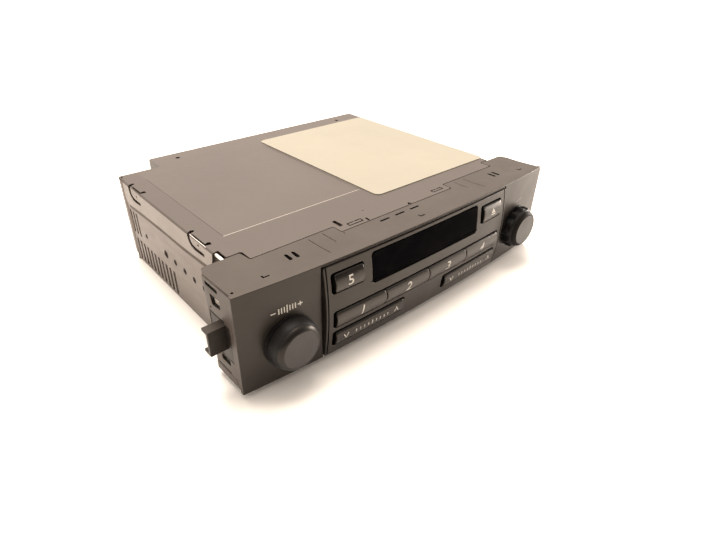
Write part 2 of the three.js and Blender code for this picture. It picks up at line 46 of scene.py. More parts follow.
def M(x, y, z):
    return Vector((x / 1000.0, (y - ORIGIN_Y) / 1000.0, (z + BASE) / 1000.0))


def bow(x):
    u = x / 101.0
    return 2.76 * u * u + 1.37 * u ** 4


def bulge(z):
    return 0.3 + 2.0 * max(0.0, 1.0 - ((z - 23.2) / 23.0) ** 2)


def smooth(t):
    t = max(0.0, min(1.0, t))
    return t * t * (3 - 2 * t)


# ------------------------------------------------------------------ camera
cam_data = bpy.data.cameras.new("camera")
cam = bpy.data.objects.new("camera", cam_data)
scene.collection.objects.link(cam)
right = Vector((0.75481, -0.65586, 0.01078))
down = Vector((-0.34723, -0.41345, -0.84172))
ahead = Vector((0.55650, 0.63159, -0.53981))
rot = Matrix((right, -down, -ahead)).transposed()
cam.matrix_world = Matrix.Translation((-0.164876, -0.210883, 0.152304 + BASE / 1000)) @ rot.to_4x4()
cam_data.sensor_fit = "HORIZONTAL"
cam_data.sensor_width = 36.0
cam_data.lens = 503.986 * 36.0 / 722.0
cam_data.shift_x = (361.0 - 347.985) / 722.0
cam_data.shift_y = (271.160 - 271.0) / 722.0
cam_data.clip_start, cam_data.clip_end = 0.01, 20.0
scene.camera = cam
scene.view_settings.view_transform = "Standard"
scene.view_settings.look = "None"


# ------------------------------------------------------------------ node materials
class Mat:
    """A Principled material and short ways to wire noise into it."""

    def __init__(self, name, base, rough, metal=0.0):
        self.m = bpy.data.materials.new(name)
        self.m.use_nodes = True
        self.t = self.m.node_tree
        self.b = self.t.nodes["Principled BSDF"]
        self.b.inputs["Base Color"].default_value = (*base, 1)
        self.b.inputs["Roughness"].default_value = rough
        self.b.inputs["Metallic"].default_value = metal
        self.co = self.t.nodes.new("ShaderNodeTexCoord").outputs["Object"]

    def node(self, kind, **values):
        n = self.t.nodes.new(kind)
        for k, v in values.items():
            setattr(n, k, v)
        return n

    def noise(self, scale, detail=3.0, rough=0.5, stretch=None, distort=0.0):
        src = self.co
        if stretch:
            mp = self.node("ShaderNodeMapping")
            mp.inputs["Scale"].default_value = stretch
            self.t.links.new(src, mp.inputs["Vector"])
            src = mp.outputs["Vector"]
        n = self.node("ShaderNodeTexNoise")
        n.inputs["Scale"].default_value = scale
        n.inputs["Detail"].default_value = detail
        n.inputs["Roughness"].default_value = rough
        n.inputs["Distortion"].default_value = distort
        self.t.links.new(src, n.inputs["Vector"])
        return n.outputs["Fac"]

    def span(self, value, lo, hi, to_lo, to_hi):
        r = self.node("ShaderNodeMapRange")
        r.inputs["From Min"].default_value = lo
        r.inputs["From Max"].default_value = hi
        r.inputs["To Min"].default_value = to_lo
        r.inputs["To Max"].default_value = to_hi
        self.t.links.new(value, r.inputs["Value"])
        return r.outputs["Result"]

    def mix(self, fac, a, b):
        x = self.node("ShaderNodeMix", data_type="RGBA")
        for i, v in ((6, a), (7, b)):
            if isinstance(v, tuple):
                x.inputs[i].default_value = (*v, 1)
            else:
                self.t.links.new(v, x.inputs[i])
        if isinstance(fac, float):
            x.inputs[0].default_value = fac
        else:
            self.t.links.new(fac, x.inputs[0])
        return x.outputs[2]

    def times(self, a, b):
        x = self.node("ShaderNodeMath", operation="MULTIPLY")
        self.t.links.new(a, x.inputs[0])
        if isinstance(b, float):
            x.inputs[1].default_value = b
        else:
            self.t.links.new(b, x.inputs[1])
        return x.outputs[0]

    def dim(self, fac, c, by):
        x = self.node("ShaderNodeMix", data_type="RGBA", blend_type="MULTIPLY")
        self.t.links.new(fac, x.inputs[0])
        self.t.links.new(c, x.inputs[6])
        x.inputs[7].default_value = (*by, 1)
        return x.outputs[2]

    def larger(self, a, b):
        x = self.node("ShaderNodeMath", operation="MAXIMUM")
        self.t.links.new(a, x.inputs[0])
        self.t.links.new(b, x.inputs[1])
        return x.outputs[0]

    def axes(self):
        x = self.node("ShaderNodeSeparateXYZ")
        self.t.links.new(self.co, x.inputs[0])
        return x.outputs

    def color(self, c):
        self.t.links.new(c, self.b.inputs["Base Color"])
        return self

    def roughness(self, r):
        self.t.links.new(r, self.b.inputs["Roughness"])
        return self

    def bump(self, *layers):
        last = None
        for value, strength, dist in layers:
            bp = self.node("ShaderNodeBump")
            bp.inputs["Strength"].default_value = strength
            bp.inputs["Distance"].default_value = dist
            self.t.links.new(value, bp.inputs["Height"])
            if last is not None:
                self.t.links.new(last, bp.inputs["Normal"])
            last = bp.outputs["Normal"]
        self.t.links.new(last, self.b.inputs["Normal"])
        return self


def shade(c, f):
    return tuple(min(1.0, v * f) for v in c)


def plastic(name, base, rough, grain=0.25, grain_size=2600.0, spec=0.4, sheen=0.0, dust=0.25):
    k = Mat(name, base, rough)
    k.b.inputs["Specular IOR Level"].default_value = spec
    k.b.inputs["Specular Tint"].default_value = (1.0, 0.91, 0.83, 1)
    cloud = k.noise(38.0, 4.0)
    c = k.mix(k.span(cloud, 0.3, 0.7, 0.0, 1.0), shade(base, 0.88), shade(base, 1.1))
    specks = k.span(k.noise(900.0, 2.0), 0.66, 0.8, 0.0, dust)
    k.color(k.mix(specks, c, shade(base, 1.7)))
    k.roughness(k.span(k.noise(90.0, 3.0), 0.3, 0.7, max(0.05, rough - 0.05), rough + 0.06))
    k.bump((k.noise(grain_size, 2.0, 0.6), grain, 0.00006), (k.noise(70.0, 2.0), 0.05, 0.0003))
    if sheen:
        k.b.inputs["Sheen Weight"].default_value = sheen
        k.b.inputs["Sheen Roughness"].default_value = 0.24
        k.b.inputs["Sheen Tint"].default_value = (1.0, 0.87, 0.78, 1)
    return k.m


def steel(name, base, rough, metal=0.85, streak=(1.0, 1.0, 1.0), stain=0.2, bumpy=0.06, rim=False):
    k = Mat(name, base, rough, metal)
    cloud = k.noise(16.0, 4.0, 0.5)
    c = k.mix(k.span(cloud, 0.3, 0.72, 0.0, 1.0), shade(base, 0.93), shade(base, 1.06))
    spots = k.span(k.noise(320.0, 3.0, 0.6), 0.7, 0.82, 0.0, stain)
    c = k.mix(spots, c, shade(base, 0.6))
    if rim:
        # painted shade: the flat rim left of and in front of the pressed field is coloured darker
        ax = k.axes()
        c = k.dim(k.larger(k.span(ax[0], -0.0802, -0.0790, 1.0, 0.0), k.span(ax[1], -0.0332, -0.0316, 1.0, 0.0)), c, (0.84, 0.82, 0.81))
    k.color(c)
    k.roughness(k.span(k.noise(60.0, 4.0, 0.6, stretch=streak), 0.3, 0.7, rough - 0.05, rough + 0.06))
    k.bump((k.noise(2200.0, 2.0, 0.5, stretch=streak), bumpy, 0.00004), (k.noise(14.0, 2.0), 0.06, 0.0008))
    return k.m


MAT = {
    "shell": plastic("shell_plastic", (0.0125, 0.0100, 0.0084), 0.38, 0.22, spec=0.34, sheen=0.4),
    # lighter copies of the shell plastic for the bezel's upward faces and its wing side walls: painted light
    "shell_top_painted_light": plastic("shell_top_painted_light", (0.052, 0.0425, 0.0365), 0.52, 0.22, spec=0.3),
    "shell_side_painted_light": plastic("shell_side_painted_light", (0.058, 0.0465, 0.040), 0.5, 0.22, spec=0.3),
    "panel": plastic("panel_plastic", (0.0145, 0.0118, 0.0100), 0.36, 0.2, spec=0.33, sheen=0.42),
    # near-black plastic for the key sides, also painted shade in the grooves and gaps of the bezel and panel
    "key_side_and_gap_shade": plastic("key_side_and_gap_shade", (0.0035, 0.0031, 0.0029), 0.5, 0.15, spec=0.08),
    "black": plastic("black_plastic", (0.014, 0.0133, 0.0126), 0.45, 0.25),
    "latch": plastic("latch_plastic", (0.0145, 0.0116, 0.0100), 0.45, 0.25, spec=0.2),
    # a lighter copy of the latch plastic for its upward faces: painted light
    "latch_top_painted_light": plastic("latch_top_painted_light", (0.036, 0.0295, 0.0255), 0.5, 0.25, spec=0.2),
    # the cover steel carries painted shade on its rim left of and in front of the pressed field
    "cover": steel("cover_steel", (0.082, 0.0650, 0.0560), 0.48, 0.2, stain=0.1, bumpy=0.04, rim=True),
    # a lighter copy of the cover steel for the side flanges: painted light
    "cover_side_painted_light": steel("cover_side_painted_light", (0.205, 0.176, 0.156), 0.45, 0.2, stain=0.1, bumpy=0.04),
    # bright and dark steel for the slopes of the pressed field: painted highlight and painted shade
    "crease": steel("crease_edge", (0.40, 0.36, 0.315), 0.4, 0.1, stain=0.1, bumpy=0.04),
    "crease_painted_shade": steel("crease_painted_shade", (0.026, 0.020, 0.0165), 0.5, 0.2, stain=0.1, bumpy=0.04),
    "liner": plastic("liner_card", (0.185, 0.150, 0.127), 0.7, 0.2, spec=0.1),
    "gap": plastic("shadow_gap", (0.032, 0.025, 0.021), 0.6, 0.2, spec=0.1),
    "tray": steel("tray_steel", (0.158, 0.132, 0.115), 0.45, 0.25, (1.0, 1.0, 4.0), stain=0.12),
    # near-white steel, used for painted light and painted highlights, and for the springs behind the wing windows
    "bright": steel("bright_steel_painted_light", (0.80, 0.77, 0.72), 0.35, 0.2, stain=0.05, bumpy=0.03),
    "inner": steel("inner_steel", (0.30, 0.285, 0.27), 0.38, 0.8, (10.0, 1.0, 1.0)),
    "tin": steel("tinplate", (0.33, 0.32, 0.31), 0.3, 0.85, (1.0, 1.0, 8.0), 0.1),
    "alu": steel("aluminium", (0.35, 0.355, 0.36), 0.36, 0.85, (8.0, 1.0, 1.0), 0.1),
    "brass": steel("brass", (0.36, 0.28, 0.125), 0.3, 0.85, (1.0, 1.0, 1.0), 0.15),
}


def gloss_black():
    k = Mat("smoked_window", (0.004, 0.004, 0.005), 0.06)
    k.b.inputs["Specular IOR Level"].default_value = 0.004
    smear = k.noise(120.0, 5.0, 0.65, distort=0.6)
    k.color(k.mix(k.span(smear, 0.45, 0.75, 0.0, 1.0), (0.0014, 0.0014, 0.0017), (0.0034, 0.0031, 0.0033)))
    k.roughness(k.span(smear, 0.35, 0.75, 0.045, 0.14))
    k.bump((k.noise(45.0, 2.0), 0.03, 0.0003))
    return k.m


def rubber(name, base, rough):
    k = Mat(name, base, rough)
    bloom = k.span(k.noise(150.0, 5.0, 0.6), 0.4, 0.75, 0.0, 1.0)
    k.color(k.mix(bloom, base, shade(base, 1.9)))
    k.roughness(k.span(k.noise(260.0, 3.0), 0.3, 0.7, rough - 0.06, rough + 0.08))
    k.bump((k.noise(3400.0, 2.0, 0.6), 0.3, 0.00005))
    k.b.inputs["Specular IOR Level"].default_value = 0.2
    return k.m


def cap_paint():
    base = (0.0165, 0.0122, 0.0102)
    k = Mat("knob_cap", base, 0.34)
    c = k.mix(k.span(k.noise(60.0, 4.0), 0.3, 0.7, 0.0, 1.0), shade(base, 0.9), shade(base, 1.1))
    specks = k.span(k.noise(1500.0, 1.0), 0.72, 0.78, 0.0, 0.5)
    k.color(k.mix(specks, c, shade(base, 2.2)))
    k.roughness(k.span(k.noise(130.0, 3.0), 0.3, 0.7, 0.28, 0.42))
    k.bump((k.noise(3000.0, 2.0), 0.12, 0.00005))
    k.b.inputs["Specular IOR Level"].default_value = 0.4
    return k.m


def label_film():
    base = (0.276, 0.250, 0.194)
    k = Mat("label_film", base, 0.5)
    c = k.mix(k.span(k.noise(16.0, 5.0, 0.55), 0.3, 0.72, 0.0, 1.0), shade(base, 0.94), shade(base, 1.03))
    fibre = k.span(k.noise(700.0, 3.0, 0.7, stretch=(1.0, 2.5, 1.0)), 0.6, 0.8, 0.0, 0.16)
    c = k.mix(fibre, c, shade(base, 0.8))
    mark = k.span(k.noise(34.0, 2.0, 0.5, distort=1.2), 0.74, 0.82, 0.0, 0.3)
    k.color(k.mix(mark, c, (0.208, 0.182, 0.137)))
    k.roughness(k.span(k.noise(50.0, 3.0), 0.3, 0.7, 0.42, 0.58))
    k.bump((k.noise(1400.0, 3.0, 0.6), 0.1, 0.00005), (k.noise(30.0, 3.0), 0.22, 0.0006))
    return k.m


def ink(name, base):
    k = Mat(name, base, 0.5)
    k.color(k.mix(k.span(k.noise(1200.0, 3.0), 0.45, 0.75, 0.0, 1.0), base, shade(base, 0.72)))
    return k.m


def board():
    base = (0.017, 0.068, 0.024)
    k = Mat("circuit_board", base, 0.42)
    v = k.node("ShaderNodeTexVoronoi", feature="DISTANCE_TO_EDGE", distance="MANHATTAN")
    v.inputs["Scale"].default_value = 260.0
    k.t.links.new(k.co, v.inputs["Vector"])
    track = k.span(v.outputs["Distance"], 0.02, 0.06, 1.0, 0.0)
    k.color(k.mix(track, k.mix(k.noise(60.0, 3.0), shade(base, 0.8), shade(base, 1.15)), (0.04, 0.135, 0.047)))
    k.bump((track, 0.3, 0.00005))
    return k.m


def key_plastic(name, z0, z1, spec=0.38):
    """Key plastic with painted shade and light: darker towards the top of the key, paler towards its lower edge."""
    k = Mat(name, (0.012, 0.0096, 0.0080), 0.23)
    k.b.inputs["Specular IOR Level"].default_value = spec
    k.b.inputs["Specular Tint"].default_value = (1.0, 0.91, 0.83, 1)
    # painted shade at the top of the key, painted light towards its lower edge
    painted_shade_ramp = k.span(k.axes()[2], (z0 + 2.9) / 1000, (z1 + 2.9) / 1000, 0.0, 1.0)
    c = k.mix(painted_shade_ramp, (0.0250, 0.0200, 0.0165), (0.0036, 0.0030, 0.0026))
    c = k.dim(k.span(k.noise(38.0, 4.0), 0.3, 0.7, 0.0, 1.0), c, (0.82, 0.82, 0.82))
    k.color(k.mix(k.span(k.noise(900.0, 2.0), 0.68, 0.8, 0.0, 0.2), c, (0.03, 0.024, 0.020)))
    k.roughness(k.span(k.noise(90.0, 3.0), 0.3, 0.7, 0.25, 0.32))
    k.bump((k.noise(3200.0, 2.0, 0.6), 0.03, 0.00006), (k.noise(70.0, 2.0), 0.04, 0.0003))
    return k.m


MAT["key"] = key_plastic("key_plastic", 34.5, 40.8)
MAT["key_row"] = key_plastic("key_plastic_row", 16.2, 22.6, 0.52)
MAT["key_low"] = key_plastic("key_plastic_low", 5.6, 11.8)
MAT["window"] = gloss_black()
MAT["knob"] = rubber("knob_rubber", (0.0045, 0.0042, 0.0043), 0.5)
MAT["rubber"] = rubber("rubber", (0.025, 0.025, 0.026), 0.7)
MAT["cap"] = cap_paint()
# dark plastic for the painted shadow under the cover's side flanges
MAT["seam"] = plastic("seam_seal", (0.088, 0.070, 0.058), 0.6, 0.15, spec=0.15, dust=0.1)
MAT["label"] = label_film()
MAT["ink"] = ink("legend_ink", (0.47, 0.44, 0.39))
MAT["ink_worn"] = ink("legend_worn", (0.085, 0.075, 0.066))
MAT["board"] = board()
MAT["chip"] = plastic("chip_resin", (0.02, 0.02, 0.0215), 0.5, 0.3)
MAT["gloss"] = plastic("knob_gloss", (0.0040, 0.0034, 0.0030), 0.36, 0.05, spec=0.32, dust=0.1)
MAT["gloss_worn"] = plastic("knob_gloss_worn", (0.0075, 0.0062, 0.0054), 0.6, 0.05, spec=0.08, dust=0.1)
MAT["display"] = plastic("display_glass", (0.018, 0.024, 0.026), 0.12, 0.02)


# ------------------------------------------------------------------ mesh helpers
def new_bm():
    return bmesh.new()


def add(dst, src):
    me = bpy.data.meshes.new("tmp")
    src.to_mesh(me)
    dst.from_mesh(me)
    bpy.data.meshes.remove(me)
    src.free()
    return dst


def plate(outer, holes, t0, t1, bev, axis="Z", res=2):
    """Closed plate with rounded rims from a flat outline with holes; t0 and t1 are its two faces.
    axis Z: outline in X, Y. axis Y: outline in X, Z. axis X: outline in Y, Z."""
    cu = bpy.data.curves.new("tmp", "CURVE")
    cu.dimensions = "2D"
    cu.fill_mode = "BOTH"
    for pts in [outer] + list(holes):
        sp = cu.splines.new("POLY")
        sp.points.add(len(pts) - 1)
        for i, p in enumerate(pts):
            sp.points[i].co = (p[0], p[1], 0, 1)
        sp.use_cyclic_u = True
    half = (t1 - t0) / 2
    b = min(bev, half * 0.98)
    cu.extrude = half - b
    cu.bevel_depth = b
    cu.bevel_resolution = res
    cu.offset = -b
    ob = bpy.data.objects.new("tmp", cu)
    scene.collection.objects.link(ob)
    dg = bpy.context.evaluated_depsgraph_get()
    me = bpy.data.meshes.new_from_object(ob.evaluated_get(dg))
    bm = bmesh.new()
    bm.from_mesh(me)
    bpy.data.objects.remove(ob)
    bpy.data.curves.remove(cu)
    bpy.data.meshes.remove(me)
    bmesh.ops.remove_doubles(bm, verts=bm.verts, dist=1e-4)
    mid = (t0 + t1) / 2
    for v in bm.verts:
        u, w, d = v.co.x, v.co.y, v.co.z + mid
        if axis == "Z":
            v.co = (u, w, d)
        elif axis == "Y":
            v.co = (u, d, w)
        else:
            v.co = (d, u, w)
    bmesh.ops.recalc_face_normals(bm, faces=bm.faces)
    if bm.calc_volume(signed=True) < 0:
        bmesh.ops.reverse_faces(bm, faces=bm.faces)
    return bm


def cuts(bm, axis, values):
    no = {"X": (1, 0, 0), "Y": (0, 1, 0), "Z": (0, 0, 1)}[axis]
    for v in values:
        bmesh.ops.bisect_plane(bm, geom=bm.verts[:] + bm.edges[:] + bm.faces[:], dist=1e-5,
                               plane_co=tuple(v * c for c in no), plane_no=no)
    return bm


def steps(a, b, d):
    n = max(1, int(round((b - a) / d)))
    return [a + (b - a) * i / n for i in range(1, n)]


def rrect(x0, x1, y0, y1, r, n=5):
    r = min(r, (x1 - x0) / 2 - 1e-3, (y1 - y0) / 2 - 1e-3)
    out = []
    for cx, cy, a0 in ((x1 - r, y0 + r, -90), (x1 - r, y1 - r, 0), (x0 + r, y1 - r, 90), (x0 + r, y0 + r, 180)):
        for i in range(n + 1):
            a = math.radians(a0 + 90 * i / n)
            out.append((cx + r * math.cos(a), cy + r * math.sin(a)))
    return out


def circle(x, y, r, n=24):
    return [(x + r * math.cos(2 * math.pi * i / n), y + r * math.sin(2 * math.pi * i / n)) for i in range(n)]


def fillet(pts, radii, n=4):
    """Rounds the corners of a closed outline; radii is one number or one per corner."""
    out = []
    m = len(pts)
    for i, p in enumerate(pts):
        r = radii if isinstance(radii, (int, float)) else radii[i]
        a, b = Vector(pts[i - 1]), Vector(pts[(i + 1) % m])
        p = Vector(p)
        if r <= 0:
            out.append(tuple(p))
            continue
        u, v = (a - p), (b - p)
        lu, lv = u.length, v.length
        u.normalize(); v.normalize()
        ang = u.angle(v)
        if ang > math.pi - 1e-3:
            out.append(tuple(p))
            continue
        t = min(r / math.tan(ang / 2), lu * 0.48, lv * 0.48)
        rr = t * math.tan(ang / 2)
        c = p + (u + v).normalized() * (rr / math.sin(ang / 2))
        s, e = p + u * t, p + v * t
        a0 = math.atan2(s.y - c.y, s.x - c.x)
        a1 = math.atan2(e.y - c.y, e.x - c.x)
        d = (a1 - a0 + math.pi) % (2 * math.pi) - math.pi
        for k in range(n + 1):
            q = a0 + d * k / n
            out.append((c.x + rr * math.cos(q), c.y + rr * math.sin(q)))
    return out


def stroke(path, w):
    """Outline of an open line of width w with square ends."""
    P = [Vector(p) for p in path]
    L, R = [], []
    for i, p in enumerate(P):
        d0 = (P[i] - P[i - 1]).normalized() if i else (P[1] - P[0]).normalized()
        d1 = (P[i + 1] - P[i]).normalized() if i < len(P) - 1 else d0
        t = (d0 + d1).normalized()
        n = Vector((-t.y, t.x)) * (w / 2 / max(0.35, t.dot(d0)))
        L.append(tuple(p + n)); R.append(tuple(p - n))
    return L + R[::-1]


def arc_path(cx, cy, r, a0, a1, n=6):
    return [(cx + r * math.cos(math.radians(a0 + (a1 - a0) * i / n)), cy + r * math.sin(math.radians(a0 + (a1 - a0) * i / n))) for i in range(n + 1)]


def slab(x0, x1, y0, y1, z0, z1, bev=0.15, seg=2):
    bm = new_bm()
    bmesh.ops.create_cube(bm, size=1.0)
    for v in bm.verts:
        v.co = ((x0 + x1) / 2 + v.co.x * (x1 - x0), (y0 + y1) / 2 + v.co.y * (y1 - y0), (z0 + z1) / 2 + v.co.z * (z1 - z0))
    if bev:
        bmesh.ops.bevel(bm, geom=bm.edges[:], offset=bev, segments=seg, profile=0.5, affect="EDGES", clamp_overlap=True)
    return bm


def turned(profile, x, z, n=96, radius=None):
    """Closed body turned round an axis along Y through x, z; profile runs from the back centre to the front centre as (r, y)."""
    bm = new_bm()
    rings = []
    for r, y in profile:
        if r < 1e-6:
            rings.append([bm.verts.new((x, y, z))])
            continue
        ring = []
        for i in range(n):
            a = 2 * math.pi * i / n
            q = radius(r, y, a) if radius else r
            ring.append(bm.verts.new((x + q * math.cos(a), y, z + q * math.sin(a))))
        rings.append(ring)
    for a, b in zip(rings, rings[1:]):
        for i in range(n):
            j = (i + 1) % n
            if len(a) == 1 and len(b) == 1:
                continue
            if len(a) == 1:
                bm.faces.new((a[0], b[i], b[j]))
            elif len(b) == 1:
                bm.faces.new((a[i], b[0], a[j]))
            else:
                bm.faces.new((a[i], b[i], b[j], a[j]))
    bmesh.ops.recalc_face_normals(bm, faces=bm.faces)
    return bm


def spline(points, n=6):
    """Catmull-Rom through points, for profiles."""
    P = [points[0]] + list(points) + [points[-1]]
    out = []
    for i in range(1, len(P) - 2):
        p0, p1, p2, p3 = P[i - 1], P[i], P[i + 1], P[i + 2]
        for k in range(n):
            t = k / n
            out.append(tuple(0.5 * (2 * b + (c - a) * t + (2 * a - 5 * b + 4 * c - d) * t * t + (3 * b - a - 3 * c + d) * t ** 3)
                             for a, b, c, d in zip(p0, p1, p2, p3)))
    out.append(points[-1])
    return out


def cad_bm(node, angle=0.02):
    """A copy of a CAD node's mesh in drawing millimetres, welded, with its flat faces whole."""
    bm = new_bm()
    bm.from_mesh(nodes[node].data)
    for v in bm.verts:
        v.co = (v.co.x * 1000, v.co.y * 1000 + ORIGIN_Y, v.co.z * 1000 - BASE)
    bmesh.ops.remove_doubles(bm, verts=bm.verts, dist=2e-3)
    bmesh.ops.dissolve_limit(bm, angle_limit=math.radians(angle), verts=bm.verts, edges=bm.edges)
    return bm


def round_edges(bm, pick, width, seg=2, angle=25):
    """Bevels the edges that pick(edge) allows and that fold by more than angle degrees."""
    sel = [e for e in bm.edges if len(e.link_faces) == 2 and e.calc_face_angle(0.0) > math.radians(angle) and pick(e)]
    if sel:
        bmesh.ops.bevel(bm, geom=sel, offset=width, segments=seg, profile=0.5, affect="EDGES", clamp_overlap=True)
    return bm


def finish_piece(name, bm, mats, body, replaces=(), angle=32, pick=None):
    """Turns a drawing-millimetre bmesh into a riding object."""
    if pick:
        for f in bm.faces:
            f.material_index = pick(f)
    for v in bm.verts:
        v.co = M(*v.co)
    bmesh.ops.remove_doubles(bm, verts=bm.verts, dist=2e-7)
    bmesh.ops.dissolve_degenerate(bm, dist=1e-7, edges=bm.edges)
    me = bpy.data.meshes.new(name)
    bm.to_mesh(me)
    bm.free()
    for p in me.polygons:
        p.use_smooth = True
    me.set_sharp_from_angle(angle=math.radians(angle))
    for m in mats if isinstance(mats, (list, tuple)) else [mats]:
        me.materials.append(m)
    ob = bpy.data.objects.new(name, me)
    scene.collection.objects.link(ob)
    wn = ob.modifiers.new("wn", "WEIGHTED_NORMAL")
    wn.keep_sharp = True
    wn.weight = 50
    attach(ob, body)
    if replaces:
        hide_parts(*replaces)
    return ob


# ------------------------------------------------------------------ sheet cover
TOP_Z, SHEET = 47.1, 0.8
BEND = 1.2


def S(z):
    """Pattern X of a point at height z on the unfolded left flange."""
    return z - (TOP_Z - BEND) - BEND * math.pi / 2 - (90 - BEND)


def tab_slot(y0, y1, z0):
    """C-shaped slot that leaves a spring tab in the flange between y0 and y1, with a wider notch at each end."""
    a, b = -88.55, -89.45
    ym = (y0 + y1) / 2 - 1
    return [(-86.4, y0 - 0.6), (-86.1, y0 + 1.5), (-87.2, y0 + 2.1), (a, y0 + 1.5), (a, y1 - 0.4), (-87.1, y1 - 0.1), (-86.4, y1 + 1.3), (-87.6, y1 + 1.9), (-89.4, y1 + 1.3),
            (S(z0 + 3.0), y1 + 0.6), (S(z0 + 1.1), y1 - 0.4), (S(z0 - 0.15), y1 - 2.0), (S(z0 - 0.6), y1 - 5.0), (S(z0 - 0.5), ym), (S(z0 - 0.1), y0 + 0.7),
            (S(z0 + 1.3), y0 + 0.7), (S(z0 + 0.95), ym), (S(z0 + 0.9), y1 - 5.0), (S(z0 + 1.3), y1 - 3.1), (S(z0 + 2.1), y1 - 1.9), (S(z0 + 3.1), y1 - 1.0),
            (b, y1 - 1.0), (b, y0 + 0.1)]


def c_slit(x0, x1, y0, y1, w=0.6, gap=0.3):
    """Slit round a small tongue that hangs on a bridge in the middle of its rear side."""
    m = (x0 + x1) / 2
    return [(m - gap, y1), (x0, y1), (x0, y0), (x1, y0), (x1, y1), (m + gap, y1), (m + gap, y1 - w), (x1 - w, y1 - w), (x1 - w, y0 + w), (x0 + w, y0 + w), (x0 + w, y1 - w), (m - gap, y1 - w)]


def fold_x(bm, sign, edge=90.0):
    """Bends everything past the start of the side bend down round it."""
    start = edge - BEND
    for v in bm.verts:
        x = v.co.x * sign
        s = x - start
        if s <= 0:
            continue
        w = TOP_Z - v.co.z
        q = BEND * math.pi / 2
        if s < q:
            a = s / BEND
            v.co.x = sign * (start + (BEND - w) * math.sin(a))
            v.co.z = TOP_Z - BEND + (BEND - w) * math.cos(a)
        else:
            v.co.x = sign * (edge - w)
            v.co.z = TOP_Z - BEND - (s - q)


